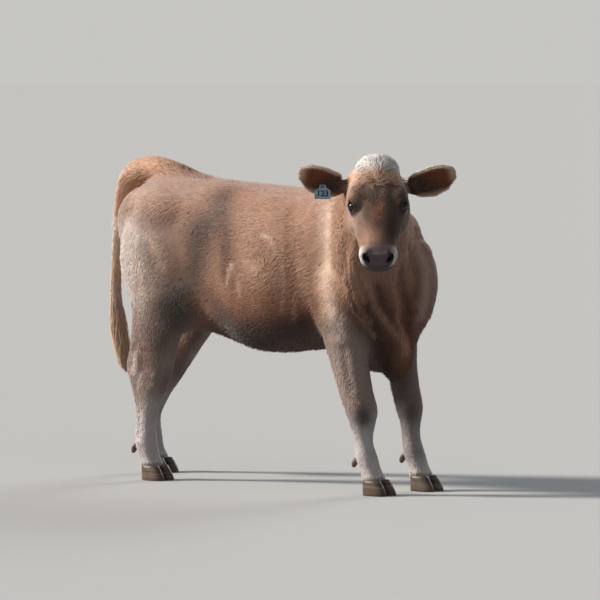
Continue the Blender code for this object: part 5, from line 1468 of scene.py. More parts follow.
def long_locks(name, r, length, width, rise, fall, material, steps=3, side=(0.0, 0.0), gravity=0.0, tip_tone=1.12,
               root_tone=0.72, shade=0.12, keep_in=0.0015, sink=0.0015, thin=0.6, clump=None, tip_colour=None):
    """Longer curved locks of three-sided section. rise and fall are the angles off the skin at root and tip."""
    count_ = len(r["p"])
    if not count_:
        return None
    rnd = lambda a, b: RNG.uniform(a, b, count_)
    n, t = r["n"], r["t"]
    b = np.cross(n, t)
    L = length * rnd(0.75, 1.25)
    a0, a1 = rise * rnd(0.7, 1.3), fall * np.ones(count_) + rnd(-0.25, 0.25)
    s0 = rnd(-1, 1) * side[0]
    s1 = rnd(-1, 1) * side[1]
    if clump is not None:
        s1 = s1 * 0.5 + clump(r["p"]) * side[1]
    at = r["p"] - n * sink
    centre, way = [at], []
    for k in range(steps):
        f = (k + 0.5) / steps
        al, be = a0 + (a1 - a0) * f, s0 + (s1 - s0) * f
        d = (t * (np.cos(al) * np.cos(be))[:, None] + n * (np.sin(al) * np.cos(be))[:, None] + b * np.sin(be)[:, None])
        d = d + np.array([0, 0, -1.0]) * (gravity * f)
        d = unit(d)
        at = at + d * (L / steps)[:, None]
        way.append(d)
        centre.append(at)
    centre = np.stack(centre, 1)
    if keep_in is not None:
        flat_c = centre[:, 1:].reshape(-1, 3)
        ins, out_ = outline(flat_c)
        move = np.clip(-keep_in - ins, 0, 0.05)
        centre[:, 1:] = (flat_c - out_ * move[:, None]).reshape(count_, steps, 3)
    way = np.stack(way + [way[-1]], 1)
    ring = np.array([(0.0, 1.0), (-0.87, -0.5), (0.87, -0.5)])
    share = np.array([0.62] + [1.0 - 0.62 * max(0.0, (k / steps - 0.25) / 0.75) ** 1.2 for k in range(1, steps)])
    verts, norms = [], []
    for k in range(steps):
        d = way[:, k]
        bb = unit(b - (b * d).sum(1, keepdims=True) * d)
        nn = np.cross(d, bb)
        wd = (width * rnd(0.9, 1.1) * share[k] * 0.5)[:, None]
        for u, v in ring:
            offset = bb * u + nn * v * thin
            verts.append(centre[:, k] + offset * wd)
            norms.append(unit(offset * 0.75 + n * 0.75))
    verts.append(centre[:, steps])
    norms.append(unit(n * 0.6 + way[:, -1] * 0.5))
    verts, norms = np.stack(verts, 1), np.stack(norms, 1)
    faces = []
    for k in range(steps - 1):
        for i in range(3):
            j = (i + 1) % 3
            a_, b_, c_, d_ = 3 * k + i, 3 * k + j, 3 * k + 3 + j, 3 * k + 3 + i
            faces += [(a_, b_, c_), (a_, c_, d_)]
    top_ = 3 * (steps - 1)
    for i in range(3):
        faces.append((top_ + i, top_ + (i + 1) % 3, 3 * steps))
    faces.append((2, 1, 0))
    faces = np.array(faces)
    a_, b_, c_ = [verts[:, faces[:, i]] for i in range(3)]
    flat_n = unit(np.cross(b_ - a_, c_ - a_))
    corner = norms[:, faces.ravel()].reshape(count_, len(faces), 3, 3)
    wrong = (corner * flat_n[:, :, None]).sum(3) < 0.05
    corner = np.where(wrong[..., None], unit(flat_n)[:, :, None] * 0.9 + 0.1 * corner, corner)
    corner = corner.reshape(count_, -1, 3)
    bright = (1 + RNG.normal(0, shade, count_)).clip(0.6, 1.5)[:, None]
    c = r["c"] * bright
    end = c if tip_colour is None else mix(c, tip_colour, 0.6)
    colours, place = [], []
    for k in range(steps):
        f = k / steps
        for u, v in ring:
            colours.append(mix(c, end, f) * (root_tone + (tip_tone - root_tone) * min(1.0, f * 1.3)))
            place.append((u * 0.5, f - 0.5))
    colours.append(end * tip_tone)
    place.append((0.0, 0.5))
    colours = np.stack(colours, 1)
    uvs = r["uv"][:, None] + np.array(place)[None] * PATCH
    fur = verts - 0.86 * (verts * t[:, None]).sum(2, keepdims=True) * t[:, None]
    return coat_mesh(name, verts, faces, corner, colours, uvs, fur, material)


# ---------------------------------------------------------------------------
# Materials
# ---------------------------------------------------------------------------
class Nodes:
    """A material and short ways to add and join its nodes."""

    def __init__(self, name):
        self.m = bpy.data.materials.new(name)
        self.m.use_nodes = True
        self.t = self.m.node_tree
        self.bsdf = next(n for n in self.t.nodes if n.type == "BSDF_PRINCIPLED")

    def add(self, kind, **inputs):
        n = self.t.nodes.new(kind)
        for k, v in inputs.items():
            if hasattr(n, k):
                setattr(n, k, v)
            else:
                n.inputs[k].default_value = v
        return n

    def join(self, a, b):
        self.t.links.new(a, b)

    def attribute(self, name):
        return self.add("ShaderNodeAttribute", attribute_name=name)

    def noise(self, vector, scale, detail=3.0, rough=0.55):
        n = self.add("ShaderNodeTexNoise", Scale=scale, Detail=detail, Roughness=rough)
        if vector is not None:
            self.join(vector, n.inputs["Vector"])
        return n

    def ramp(self, fac, stops):
        n = self.add("ShaderNodeValToRGB")
        e = n.color_ramp.elements
        while len(e) < len(stops):
            e.new(0.5)
        for el, (pos, col) in zip(e, stops):
            el.position = pos
            el.color = (*col, 1) if len(col) == 3 else col
        self.join(fac, n.inputs["Fac"])
        return n

    def mixed(self, kind, a, b, fac):
        n = self.add("ShaderNodeMix", data_type="RGBA", blend_type=kind)
        for socket, v in ((n.inputs[6], a), (n.inputs[7], b), (n.inputs[0], fac)):
            if isinstance(v, (int, float)):
                socket.default_value = v
            elif isinstance(v, tuple):
                socket.default_value = (*v, 1)
            else:
                self.join(v, socket)
        return n.outputs[2]

    def map(self, value, a, b, c, d):
        n = self.add("ShaderNodeMapRange")
        self.join(value, n.inputs[0])
        for i, v in zip((1, 2, 3, 4), (a, b, c, d)):
            n.inputs[i].default_value = v
        return n.outputs[0]

    def bump(self, height, strength, distance):
        n = self.add("ShaderNodeBump", Strength=strength, Distance=distance)
        self.join(height, n.inputs["Height"])
        return n

    def set(self, **values):
        for k, v in values.items():
            self.bsdf.inputs[k.replace("_", " ")].default_value = v


def hair_material(name, bump=0.35):
    m = Nodes(name)
    col = m.attribute("Col")
    fur = m.attribute("fur")
    fine = m.noise(fur.outputs["Vector"], 420.0, 3.0)
    wide = m.noise(fur.outputs["Vector"], 60.0, 2.0)
    grey = m.ramp(fine.outputs["Fac"], [(0.25, (0.72, 0.71, 0.70)), (0.75, (1.22, 1.23, 1.25))])
    a = m.mixed("MULTIPLY", col.outputs["Color"], grey.outputs["Color"], 0.75)
    soft = m.ramp(wide.outputs["Fac"], [(0.3, (0.88, 0.86, 0.85)), (0.7, (1.08, 1.08, 1.08))])
    a = m.mixed("MULTIPLY", a, soft.outputs["Color"], 0.7)
    m.join(a, m.bsdf.inputs["Base Color"])
    m.join(m.map(fine.outputs["Fac"], 0.3, 0.7, 0.52, 0.72), m.bsdf.inputs["Roughness"])
    b = m.bump(fine.outputs["Fac"], bump, 0.0012)
    m.join(b.outputs["Normal"], m.bsdf.inputs["Normal"])
    m.set(Sheen_Weight=0.30, Sheen_Roughness=0.45, Specular_IOR_Level=0.35)
    m.bsdf.inputs["Sheen Tint"].default_value = (1.0, 0.93, 0.86, 1.0)
    return m.m


def skin_material():
    m = Nodes("skin_and_short_coat")
    col, fur, bare = m.attribute("Col"), m.attribute("fur"), m.attribute("bare")
    place = m.add("ShaderNodeTexCoord")
    fine = m.noise(fur.outputs["Vector"], 380.0, 3.0)
    wide = m.noise(fur.outputs["Vector"], 55.0, 2.0)
    grey = m.ramp(fine.outputs["Fac"], [(0.25, (0.66, 0.64, 0.62)), (0.75, (1.16, 1.16, 1.16))])
    haired = m.mixed("MULTIPLY", col.outputs["Color"], grey.outputs["Color"], 0.75)
    soft = m.ramp(wide.outputs["Fac"], [(0.3, (0.86, 0.84, 0.83)), (0.7, (1.06, 1.06, 1.06))])
    haired = m.mixed("MULTIPLY", haired, soft.outputs["Color"], 0.7)
    pebble = m.add("ShaderNodeTexVoronoi", Scale=260.0, feature="SMOOTH_F1")
    m.join(place.outputs["Object"], pebble.inputs["Vector"])
    blotch = m.noise(place.outputs["Object"], 90.0, 3.0)
    moist = m.ramp(blotch.outputs["Fac"], [(0.35, (0.78, 0.74, 0.74)), (0.65, (1.12, 1.10, 1.12))])
    naked = m.mixed("MULTIPLY", col.outputs["Color"], moist.outputs["Color"], 0.8)
    m.join(m.mixed("MIX", haired, naked, bare.outputs["Fac"]), m.bsdf.inputs["Base Color"])
    # hair is dull; the bare nose and lids are moist
    dull = m.map(fine.outputs["Fac"], 0.3, 0.7, 0.60, 0.80)
    wet = m.map(blotch.outputs["Fac"], 0.3, 0.7, 0.26, 0.42)
    rough = m.add("ShaderNodeMix", data_type="FLOAT")
    m.join(bare.outputs["Fac"], rough.inputs[0]); m.join(dull, rough.inputs[2]); m.join(wet, rough.inputs[3])
    m.join(rough.outputs[0], m.bsdf.inputs["Roughness"])
    height = m.add("ShaderNodeMix", data_type="FLOAT")
    m.join(bare.outputs["Fac"], height.inputs[0]); m.join(fine.outputs["Fac"], height.inputs[2]); m.join(pebble.outputs["Distance"], height.inputs[3])
    b = m.bump(height.outputs[0], 0.45, 0.0015)
    m.join(b.outputs["Normal"], m.bsdf.inputs["Normal"])
    m.set(Specular_IOR_Level=0.40)
    return m.m


def horn_material():
    m = Nodes("hoof_horn")
    place = m.add("ShaderNodeTexCoord")
    stretch = m.add("ShaderNodeMapping")
    stretch.inputs["Scale"].default_value = (9.0, 9.0, 170.0)
    m.join(place.outputs["Object"], stretch.inputs["Vector"])
    rings = m.noise(stretch.outputs["Vector"], 1.0, 3.0)
    grain = m.add("ShaderNodeMapping")
    grain.inputs["Scale"].default_value = (420.0, 420.0, 30.0)
    m.join(place.outputs["Object"], grain.inputs["Vector"])
    streak = m.noise(grain.outputs["Vector"], 1.0, 2.0)
    c = m.ramp(rings.outputs["Fac"], [(0.25, tuple(srgb(64, 50, 42))), (0.5, tuple(srgb(98, 78, 64))), (0.8, tuple(srgb(146, 122, 100)))])
    s = m.ramp(streak.outputs["Fac"], [(0.3, (0.75, 0.74, 0.73)), (0.7, (1.1, 1.1, 1.1))])
    m.join(m.mixed("MULTIPLY", c.outputs["Color"], s.outputs["Color"], 0.8), m.bsdf.inputs["Base Color"])
    m.join(m.map(streak.outputs["Fac"], 0.3, 0.7, 0.38, 0.62), m.bsdf.inputs["Roughness"])
    b = m.bump(rings.outputs["Fac"], 0.5, 0.0015)
    m.join(b.outputs["Normal"], m.bsdf.inputs["Normal"])
    return m.m


def eye_material():
    m = Nodes("eye_wet")
    col = m.attribute("Col")
    place = m.add("ShaderNodeTexCoord")
    vein = m.noise(place.outputs["Object"], 500.0, 4.0)
    v = m.ramp(vein.outputs["Fac"], [(0.35, (0.8, 0.76, 0.74)), (0.65, (1.1, 1.08, 1.05))])
    m.join(m.mixed("MULTIPLY", col.outputs["Color"], v.outputs["Color"], 0.6), m.bsdf.inputs["Base Color"])
    m.join(m.map(vein.outputs["Fac"], 0.3, 0.7, 0.14, 0.20), m.bsdf.inputs["Roughness"])
    m.set(Specular_IOR_Level=0.4, Coat_Weight=0.15, Coat_Roughness=0.10)
    return m.m


def plastic_material(name, light, dark, rough=(0.32, 0.5), scale=90.0):
    m = Nodes(name)
    place = m.add("ShaderNodeTexCoord")
    dirt = m.noise(place.outputs["Object"], scale, 5.0, 0.6)
    c = m.ramp(dirt.outputs["Fac"], [(0.30, tuple(dark)), (0.62, tuple(light))])
    m.join(c.outputs["Color"], m.bsdf.inputs["Base Color"])
    m.join(m.map(dirt.outputs["Fac"], 0.3, 0.7, rough[1], rough[0]), m.bsdf.inputs["Roughness"])
    b = m.bump(dirt.outputs["Fac"], 0.15, 0.0006)
    m.join(b.outputs["Normal"], m.bsdf.inputs["Normal"])
    return m.m


HAIR = hair_material("coat_hair")
SKIN = skin_material()
HORN = horn_material()
skin.data.materials.append(SKIN)
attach(skin, "root")
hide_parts("trunk", "neck", "head", "ear_right", "ear_left", "foreleg_right", "foreleg_left",
            "hindleg_right", "hindleg_left", "tail_head", "tail_dock", "tail_switch")


# ---------------------------------------------------------------------------
# Short coat, everywhere but on bare skin
# ---------------------------------------------------------------------------
W = {r: weights[:, i] for i, r in enumerate(REGIONS)}
S = {r: soft[:, i] for i, r in enumerate(REGIONS)}
h_all = in_head(points)
legs_w = weights[:, 3:7].sum(1)
ears_w = weights[:, 7:9].sum(1)
not_bare = 1 - np.clip(bare * 1.4, 0, 1)
not_bare *= 1 - (pad_mask(h_all) > 0.25) * W["head"]
foot = smoothstep(points[:, 2], HOOF_TOP + 0.0005, HOOF_TOP + 0.006)
density = (S["trunk"] * 38000 + S["neck"] * 42000 + S["head"] * 120000 + soft[:, 3:7].sum(1) * 52000 + ears_w * 120000 + W["tail"] * 60000) * not_bare * foot
roots = scatter(density)
HARD = dict(trunk=(0.0220, 0.0040), neck=(0.0220, 0.0038), head=(0.0090, 0.0021), legs=(0.0140, 0.0030), ears=(0.0095, 0.0022), tail=(0.0200, 0.0032))


def sizes(r):
    """Length and width of the short locks at each root."""
    w = r["s"]
    groups = np.stack([w[:, 0], w[:, 1], w[:, 2], w[:, 3:7].sum(1), w[:, 7:9].sum(1), w[:, 9]], 1)
    table = np.array([HARD[k] for k in ("trunk", "neck", "head", "legs", "ears", "tail")])
    L, Wd = (groups @ table).T
    h = in_head(r["p"])
    fine_ = (smoothstep(h[:, 0], 0.27, 0.35)) * w[:, 2]
    eyes = eye_near(h, 0.045) * w[:, 2]
    L = L * (1 - 0.35 * fine_) * (1 - 0.45 * eyes) * (1 + 0.45 * (1 - smoothstep(h[:, 0], 0.06, 0.16)) * w[:, 2])
    Wd = Wd * (1 - 0.20 * fine_) * (1 - 0.25 * eyes)
    low = 1 - smoothstep(r["p"][:, 2], 0.10, 0.30)
    return L * (1 - 0.25 * low), Wd * (1 - 0.15 * low)


L_all, W_all = sizes(roots)
rx, ry, rz = roots["p"].T
part = roots["w"].argmax(1)
groups = {
    "coat_rump": (part == 0) & (rx < -0.36),
    "coat_loin": (part == 0) & (rx >= -0.36) & (rx < 0.00),
    "coat_barrel": (part == 0) & (rx >= 0.00) & (rx < 0.28),
    "coat_shoulder": (part == 0) & (rx >= 0.28),
    "coat_neck": part == 1,
    "coat_face": (part == 2),
    "coat_forelegs": (part == 3) | (part == 4),
    "coat_hindlegs": (part == 5) | (part == 6),
    "coat_ears": (part == 7) | (part == 8),
    "coat_tail": part == 9,
}
for name, on in groups.items():
    index = np.flatnonzero(on)
    pieces = int(np.ceil(len(index) * 6 / 196000))
    for i in range(pieces):
        chosen = index[i::pieces]
        flat_locks(name + ("" if pieces == 1 else "_%d" % (i + 1)), choose(roots, chosen), L_all[chosen], W_all[chosen], HAIR)


# ---------------------------------------------------------------------------
# Longer hair
# ---------------------------------------------------------------------------
px, py, pz = points.T
hx, hy, hz = h_all.T
curl = lambda p: noise(p, 60, 41)
wave = lambda p: noise(p, 38, 42)

# poll: curly, swept up and out from the whorl
poll_on = W["head"] * (1 - smoothstep(hx, 0.075, 0.110)) * smoothstep(hz, -0.085, -0.045) * (np.abs(hy) < 0.095)
poll_on = np.maximum(poll_on, W["head"] * (1 - smoothstep(hx, 0.050, 0.080)) * smoothstep(hz, -0.112, -0.085) * smoothstep(np.abs(hy), 0.060, 0.075) * (np.abs(hy) < 0.088))
r = scatter(poll_on * 78000)
q = in_head(r["p"])
high = smoothstep(-q[:, 0], -0.070, 0.020)
r["t"] = unit(r["t"] + 1.1 * HEAD_AXES[:, 1] * np.clip(q[:, 1:2] / 0.035, -1, 1) + 0.5 * HEAD_AXES[:, 0] * smoothstep(q[:, 0], 0.02, 0.07)[:, None])
r["t"] = unit(r["t"] - (r["t"] * r["n"]).sum(1, keepdims=True) * r["n"])
long_locks("hair_poll", r, 0.030 + 0.012 * high, 0.0030, 0.85, -0.45, HAIR, steps=5, side=(0.6, 1.3), clump=curl, keep_in=0.0, shade=0.12, root_tone=0.86, tip_tone=1.20)

# brow and forehead: a little longer than the face
front = W["head"] * smoothstep(hx, 0.06, 0.10) * (1 - smoothstep(hx, 0.14, 0.20)) * smoothstep(hz, -0.05, -0.02)
r = scatter(front * 30000)
long_locks("hair_forehead", r, 0.019, 0.0024, 0.35, -0.10, HAIR, steps=3, side=(0.3, 0.6), clump=curl, shade=0.14)

# top of the tail: fluffy
top = W["tail"] * smoothstep(pz, 0.93, 1.02)
r = scatter(top * 45000)
r["t"] = unit(r["t"] + 0.25 * r["n"])
long_locks("hair_tail_head", r, 0.030, 0.0030, 0.70, 0.30, HAIR, steps=3, side=(0.4, 0.7), clump=wave, shade=0.12)

dock = W["tail"] * (1 - smoothstep(pz, 0.93, 1.02)) * smoothstep(pz, 0.60, 0.66)
r = scatter(dock * 34000)
long_locks("hair_tail_dock", r, 0.034, 0.0032, 0.22, -0.05, HAIR, steps=3, side=(0.2, 0.35), clump=wave, gravity=0.3)

# switch: long locks that hang to a point
low_tail = W["tail"] * (1 - smoothstep(pz, 0.62, 0.68))
r = scatter(low_tail * 30000)
reach = np.clip(r["p"][:, 2] - 0.395, 0.012, 0.15)
r["t"] = unit(mix(r["t"], np.array([0.06, 0.0, -1.0]), 0.7))
r["t"] = unit(r["t"] - 0.0 * r["n"])
long_locks("hair_switch", r, np.minimum(reach, 0.125), 0.0042, 0.26, -0.16, HAIR, steps=6, side=(0.15, 0.30), clump=wave, gravity=0.35,
           tip_colour=srgb(226, 196, 160), keep_in=0.0)

# ears: fringe at the rim, long soft hair inside
for i, s, name in ((7, -1, "right"), (8, 1, "left")):
    o = HEAD_AT + HEAD_AXES @ np.array([0.035, s * 0.085, -0.085])
    q = (points - o) @ ear_frame(s)
    nf = normals @ ear_frame(s)[:, 2]
    u = np.clip(q[:, 0] / EAR_LENGTH, 0, 1)
    half = np.interp(u, [0, 0.3, 0.55, 0.8, 0.94, 1.0], [0.034, 0.046, 0.055, 0.047, 0.028, 0.012])
    edge = np.maximum(np.abs(q[:, 1] + 0.005) / half, (u - 0.66) / 0.26)
    rim_on = weights[:, i] * np.exp(-(nf / 0.45) ** 2) * smoothstep(q[:, 0], 0.02, 0.05) * smoothstep(edge, 0.66, 0.86)
    r = scatter(rim_on * 260000)
    e = ear_frame(s)
    rq = (r["p"] - o) @ e
    outward = unit(np.stack([0.5 + 0 * rq[:, 0], np.sign(rq[:, 1] + 0.005) * 1.0, 0.10 + 0 * rq[:, 0]], 1)) @ e.T
    r["t"] = unit(r["t"] * 0.5 + outward)
    r["t"] = unit(r["t"] - 0.5 * (r["t"] * r["n"]).sum(1, keepdims=True) * r["n"])
    # rim hairs paler, brightest at the tips: partly a painted glow of light through them
    r["c"] = mix(r["c"], srgb(244, 222, 200), 0.85)
    long_locks("hair_ear_rim_" + name, r, 0.0190, 0.0019, 0.30, 0.0, HAIR, steps=3, side=(0.3, 0.5), keep_in=0.001, tip_tone=1.3, root_tone=0.9)
    in_on = weights[:, i] * smoothstep(nf, 0.2, 0.7) * (1 - smoothstep(u, 0.55, 0.85)) * smoothstep(q[:, 0], 0.01, 0.03)
    r = scatter(in_on * 30000)
    long_locks("hair_ear_inside_" + name, r, 0.017, 0.0016, 0.55, 0.15, HAIR, steps=4, side=(0.4, 0.7), keep_in=0.002,
               tip_colour=srgb(176, 130, 98))

# brisket, belly, back of the thighs and of the forearms
ay = np.abs(py)
fringe = W["trunk"] * (smoothstep(-normals[:, 2], 0.35, 0.9) * smoothstep(-pz, -0.66, -0.56) * 0.8 + smoothstep(px, 0.50, 0.58) * smoothstep(-pz, -0.80, -0.66))
fringe += (W["trunk"] + W["hindleg_right"] + W["hindleg_left"]) * smoothstep(-normals[:, 0], 0.45, 0.85) * smoothstep(-px, 0.50, 0.60) * smoothstep(pz, 0.48, 0.55) * 0.9
fringe += (W["foreleg_right"] + W["foreleg_left"]) * smoothstep(-normals[:, 0], 0.4, 0.8) * smoothstep(pz, 0.26, 0.36) * 0.8
fringe += W["neck"] * smoothstep(-normals[:, 2], 0.0, 0.5) * 0.7
r = scatter(np.clip(fringe, 0, 1) * 16000)
long_locks("hair_fringe", r, 0.026, 0.0036, 0.30, 0.05, HAIR, steps=3, side=(0.25, 0.45), clump=wave, gravity=0.35, keep_in=0.0015)

# locks that break the flat coat where it swirls, on both sides
swirls = np.zeros(len(points))
for c_, reach_, turning in WHORLS:
    swirls = np.maximum(swirls, np.exp(-((points - np.array(c_)) ** 2).sum(1) / (1.3 * reach_) ** 2))
swirls = np.clip(swirls + 0.16 * (noise(points, 9, 51) > 0.15), 0, 1) * (W["trunk"] + W["neck"])
r = scatter(swirls * 9000)
r["c"] = r["c"] * 1.06
long_locks("hair_swirls", r, 0.024, 0.0042, 0.22, 0.06, HAIR, steps=3, side=(0.3, 0.8), clump=wave, keep_in=0.001)

# hair over the top of the claws
rim = legs_w * (1 - smoothstep(pz, HOOF_TOP + 0.010, HOOF_TOP + 0.022)) * smoothstep(pz, HOOF_TOP - 0.002, HOOF_TOP + 0.004)
r = scatter(rim * 110000)
r["t"] = np.repeat(np.array([[0.0, 0.0, -1.0]]), len(r["p"]), 0)
r["n"] = unit(r["n"] * np.array([1, 1, 0.15]))
long_locks("hair_coronets", r, 0.0135, 0.0024, 0.30, 0.10, HAIR, steps=3, side=(0.2, 0.3), keep_in=None, sink=0.001)

# eyelashes
lashes = []
for s in (-1, 1):
    o, m = np.array([EYE[0], s * EYE[1], EYE[2]]), eye_axes(s)
    a = np.linspace(-0.8, 0.9, 34)
    for row in range(2):
        x_ = a * 0.0165 + RNG.uniform(-0.0003, 0.0003, len(a))
        y_ = 0.0005 + (1 - a ** 2) ** 0.75 * 0.0110 + 0.0008 + 0.0012 * row
        z_ = np.sqrt(np.maximum((EYE_RADIUS + 0.0016) ** 2 - x_ ** 2 - y_ ** 2, 1e-5))
        p_ = (o + np.stack([x_, y_, z_], 1) @ m.T) @ HEAD_AXES.T + HEAD_AT
        n_ = (unit(np.stack([x_ * 0.5, y_ * 0.3 + 0.002, z_], 1)) @ m.T) @ HEAD_AXES.T
        t_ = (unit(np.stack([a * 0.5, 1.0 + 0 * a, 0.2 + 0 * a], 1)) @ m.T) @ HEAD_AXES.T
        lashes.append((p_, n_, t_))
p_, n_, t_ = [np.vstack(x) for x in zip(*lashes)]
t_ = unit(t_ - (t_ * n_).sum(1, keepdims=True) * n_)
near = [int(((points - q) ** 2).sum(1).argmin()) for q in p_]
corner_of = np.zeros(len(points), int)
corner_of[loops_v] = np.arange(len(loops_v))
r = dict(p=p_, n=n_, t=t_, w=weights[near], c=np.repeat(srgb(70, 52, 44)[None], len(p_), 0), room=inside_s[near], chart=loops_chart[corner_of[near]])
r["uv"] = uv[corner_of[near]]
long_locks("eyelashes", r, 0.0125, 0.0009, 1.15, 0.15, HAIR, steps=4, side=(0.1, 0.2), keep_in=None, sink=0.0015, root_tone=0.8)


# ---------------------------------------------------------------------------
# Eyes, claws, tag
# ---------------------------------------------------------------------------
EYE_SKIN = eye_material()
for s, name in ((-1, "right"), (1, "left")):
    lo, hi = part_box("eye_" + name)
    centre = np.array((lo + hi) / 2) - SHIFT
    m = HEAD_AXES @ eye_axes(s)
    lon, lat = 56, 40
    th = np.linspace(0, math.pi, lat + 1)[1:-1]
    ph = np.linspace(0, 2 * math.pi, lon, endpoint=False)
    T, P = np.meshgrid(th, ph, indexing="ij")
    q = np.stack([np.sin(T) * np.cos(P), np.sin(T) * np.sin(P), np.cos(T)], -1).reshape(-1, 3)
    q = np.vstack([q, [[0, 0, 1.0]], [[0, 0, -1.0]]])
    bulge = 1 - 0.030 + 0.030 * smoothstep(q[:, 2], 0.70, 0.86)
    pts = centre + (q * (EYE_RADIUS - 0.0002) * bulge[:, None]) @ m.T
    faces = []
    for i in range(lat - 2):
        for j in range(lon):
            k = (j + 1) % lon
            faces.append((i * lon + j, (i + 1) * lon + j, (i + 1) * lon + k, i * lon + k))
    n_ring = (lat - 1) * lon
    caps = [(j, (j + 1) % lon, n_ring) for j in range(lon)] + [((lat - 2) * lon + (j + 1) % lon, (lat - 2) * lon + j, n_ring + 1) for j in range(lon)]
    eye_me = bpy.data.meshes.new("eyeball_" + name)
    eye_me.from_pydata((pts + SHIFT).tolist(), [], faces + caps)
    bmw = bmesh.new()
    bmw.from_mesh(eye_me)
    bmesh.ops.recalc_face_normals(bmw, faces=bmw.faces)
    bmw.to_mesh(eye_me)
    bmw.free()
    eye_me.polygons.foreach_set("use_smooth", np.ones(len(eye_me.polygons), bool))
    r_ = np.hypot(q[:, 0], q[:, 1]) * EYE_RADIUS
    ang = np.arctan2(q[:, 1], q[:, 0])
    iris = mix(np.repeat(srgb(58, 34, 22)[None], len(q), 0), srgb(30, 18, 14), 0.5 + 0.5 * np.sin(ang * 23 + np.sin(ang * 7) * 2))
    white = mix(np.repeat(srgb(52, 36, 31)[None], len(q), 0), srgb(92, 72, 64), smoothstep(r_, 0.0138, 0.0170))
    col_ = mix(iris, white, smoothstep(r_, 0.0120, 0.0134))
    slit = np.sqrt((q[:, 0] * EYE_RADIUS / 0.0078) ** 2 + (q[:, 1] * EYE_RADIUS / 0.0042) ** 2)
    col_ = mix(col_, srgb(9, 9, 14), 1 - smoothstep(slit, 0.9, 1.1))
    col_ = np.where((q[:, 2] < 0)[:, None], srgb(120, 96, 90), col_)
    put_colour(eye_me, "Col", col_)
    eye = bpy.data.objects.new("eyeball_" + name, eye_me)
    bpy.context.scene.collection.objects.link(eye)
    eye.data.materials.append(EYE_SKIN)
    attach(eye, "root")
    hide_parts("eye_" + name)

# claws and dewclaws: the solids' shapes with their facets rounded
for name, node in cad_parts.items():
    if "hoof" not in name and "dewclaw" not in name:
        continue
    ob = bpy.data.objects.new("horn_" + name, node.data.copy())
    bpy.context.scene.collection.objects.link(ob)
    bm = bmesh.new()
    bm.from_mesh(ob.data)
    bmesh.ops.remove_doubles(bm, verts=bm.verts, dist=1e-5)
    bmesh.ops.dissolve_limit(bm, angle_limit=math.radians(3), verts=bm.verts, edges=bm.edges)
    crease = bm.edges.layers.float.get("crease_edge") or bm.edges.layers.float.new("crease_edge")
    for e in bm.edges:
        e[crease] = 0.85 if len(e.link_faces) == 2 and e.calc_face_angle(0) > math.radians(48) else 0.0
    bm.to_mesh(ob.data)
    bm.free()
    sub = ob.modifiers.new("round", "SUBSURF")
    sub.levels = sub.render_levels = 2
    bpy.context.view_layer.objects.active = ob
    depsgraph = bpy.context.evaluated_depsgraph_get()
    made = bpy.data.meshes.new_from_object(ob.evaluated_get(depsgraph))
    ob.modifiers.clear()
    ob.data = made
    made.polygons.foreach_set("use_smooth", np.ones(len(made.polygons), bool))
    made.materials.clear()
    made.materials.append(HORN)
    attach(ob, "root")
    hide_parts(name)

# ear tag: the plate and stud stay, with plain digits of no meaning
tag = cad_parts["ear_tag"]
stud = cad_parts["ear_tag_stud"]
for node, mat in ((tag, plastic_material("tag_plastic", srgb(176, 202, 220), srgb(138, 162, 180))),
                  (stud, plastic_material("stud_plastic", srgb(120, 138, 150), srgb(84, 98, 110), scale=200.0))):
    node.data.materials.clear()
    node.data.materials.append(mat)
co, _ = arrays(tag.data)
centre = (co.max(0) + co.min(0)) / 2
_, _, vt = np.linalg.svd(co - co.mean(0), full_matrices=False)
face_n = vt[2] if vt[2] @ np.array([0.643, -0.766, 0]) > 0 else -vt[2]
up_ = np.array([0, 0, 1.0]) - face_n[2] * face_n
up_ /= np.linalg.norm(up_)
e = ear_frame(-1)
right_ = np.cross(up_, face_n)
text = bpy.data.curves.new("tag_digits", "FONT")
text.body = "123"
text.align_x = text.align_y = "CENTER"
text.size = 0.0285
text.extrude = 0.00022
text.offset = 0.0007
holder = bpy.data.objects.new("tag_digits_text", text)
bpy.context.scene.collection.objects.link(holder)
bpy.context.view_layer.update()
digits_me = bpy.data.meshes.new_from_object(holder.evaluated_get(bpy.context.evaluated_depsgraph_get()))
bpy.data.objects.remove(holder)
reach_front = ((co - centre) @ face_n).max()
low_half = centre - up_ * 0.006
basis = Matrix(((right_[0], up_[0], face_n[0]), (right_[1], up_[1], face_n[1]), (right_[2], up_[2], face_n[2])))
place = Matrix.Translation(Vector((low_half + SHIFT + face_n * (reach_front + 0.00025)).tolist())) @ basis.to_4x4()
digits_me.transform(place)
digits = bpy.data.objects.new("tag_digits", digits_me)
bpy.context.scene.collection.objects.link(digits)
digits.data.materials.clear()
digits.data.materials.append(plastic_material("digit_ink", srgb(34, 48, 84), srgb(22, 32, 60), rough=(0.45, 0.6), scale=260.0))
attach(digits, "root")


# ---------------------------------------------------------------------------
# Floor, light, camera
# ---------------------------------------------------------------------------
def plane(name, size, at, mat):
    me = bpy.data.meshes.new(name)
    s = size / 2
    me.from_pydata([(-s, -s, 0), (s, -s, 0), (s, s, 0), (-s, s, 0)], [], [(0, 1, 2, 3)])
    ob = bpy.data.objects.new(name, me)
    ob.location = at
    bpy.context.scene.collection.objects.link(ob)
    ob.data.materials.append(mat)
    return ob


floor_m = Nodes("floor_pale")
floor_m.set(Roughness=0.85)
floor_m.bsdf.inputs["Base Color"].default_value = (0.50, 0.495, 0.485, 1)
ground = plane("floor", 900, (0, 0, -0.0005), floor_m.m)
ground.visible_diffuse = False      # as in the grass of the photo, no light comes up from below

world = bpy.data.worlds.new("studio")
bpy.context.scene.world = world
world.use_nodes = True
world.node_tree.nodes["Background"].inputs["Color"].default_value = (0.86, 0.92, 1.0, 1)
world.node_tree.nodes["Background"].inputs["Strength"].default_value = 0.20
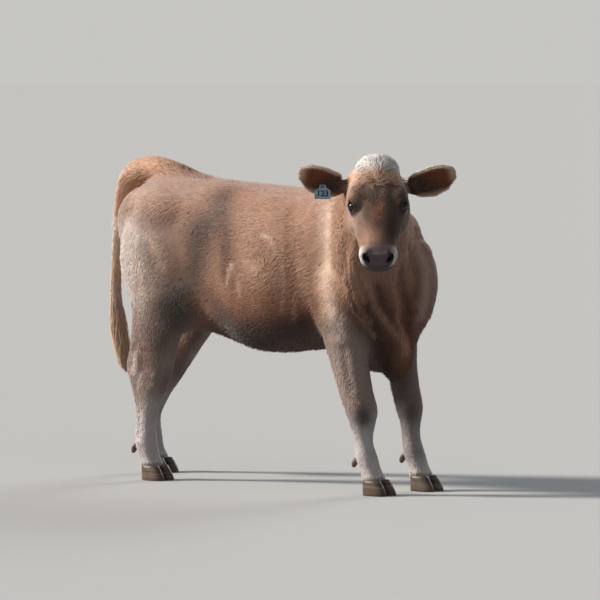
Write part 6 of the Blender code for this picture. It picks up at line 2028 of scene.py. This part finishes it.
# beyond the floor's edge the studio is as pale as the floor
tree_w = world.node_tree
pale = tree_w.nodes.new("ShaderNodeBackground")
pale.inputs["Color"].default_value = (0.565, 0.560, 0.540, 1)
pale.inputs["Strength"].default_value = 1.0
seen = tree_w.nodes.new("ShaderNodeLightPath")
both_w = tree_w.nodes.new("ShaderNodeMixShader")
tree_w.links.new(seen.outputs["Is Camera Ray"], both_w.inputs[0])
tree_w.links.new(tree_w.nodes["Background"].outputs[0], both_w.inputs[1])
tree_w.links.new(pale.outputs[0], both_w.inputs[2])
tree_w.links.new(both_w.outputs[0], tree_w.nodes["World Output"].inputs["Surface"])

view_side = np.array([math.cos(math.radians(40)), math.sin(math.radians(40)), 0])
view_back = np.array([math.sin(math.radians(40)), -math.cos(math.radians(40)), 0])


def lamp(name, direction, strength, angle, colour_):
    """A soft distant light from the given direction."""
    light = bpy.data.lights.new(name, "SUN")
    light.energy, light.angle, light.color = strength, math.radians(angle), colour_
    ob = bpy.data.objects.new(name, light)
    ob.rotation_mode = "QUATERNION"
    ob.rotation_quaternion = Vector((-unit(np.array(direction, float))).tolist()).to_track_quat("-Z", "Y")
    bpy.context.scene.collection.objects.link(ob)


lamp("key", -0.90 * view_side - 0.12 * view_back + np.array([0, 0, 0.54]), 4.6, 10, (1.0, 0.95, 0.88))
lamp("rim", 0.60 * view_side - 0.95 * view_back + np.array([0, 0, 0.55]), 1.0, 24, (0.90, 0.95, 1.0))
lamp("fill", 0.10 * view_side + 1.0 * view_back + np.array([0, 0, 0.75]), 0.16, 40, (0.90, 0.95, 1.0))

cam = bpy.data.cameras.new("photo_view")
cam.sensor_width = 36.0
cam.lens = 4968 / 600 * 36.0
cam.clip_end = 400
camera = bpy.data.objects.new("photo_view", cam)
spot = view_side * 0.0634 + view_back * 18 + np.array([0, 0, 1.518]) + SHIFT
aim = view_side * 0.0634 + np.array([0, 0, 0.671]) + SHIFT
camera.location = spot.tolist()
camera.rotation_mode = "QUATERNION"
camera.rotation_quaternion = Vector((aim - spot).tolist()).to_track_quat("-Z", "Y")
bpy.context.scene.collection.objects.link(camera)
bpy.context.scene.camera = camera
bpy.context.scene.view_settings.view_transform = "Standard"
bpy.context.scene.view_settings.look = "None"
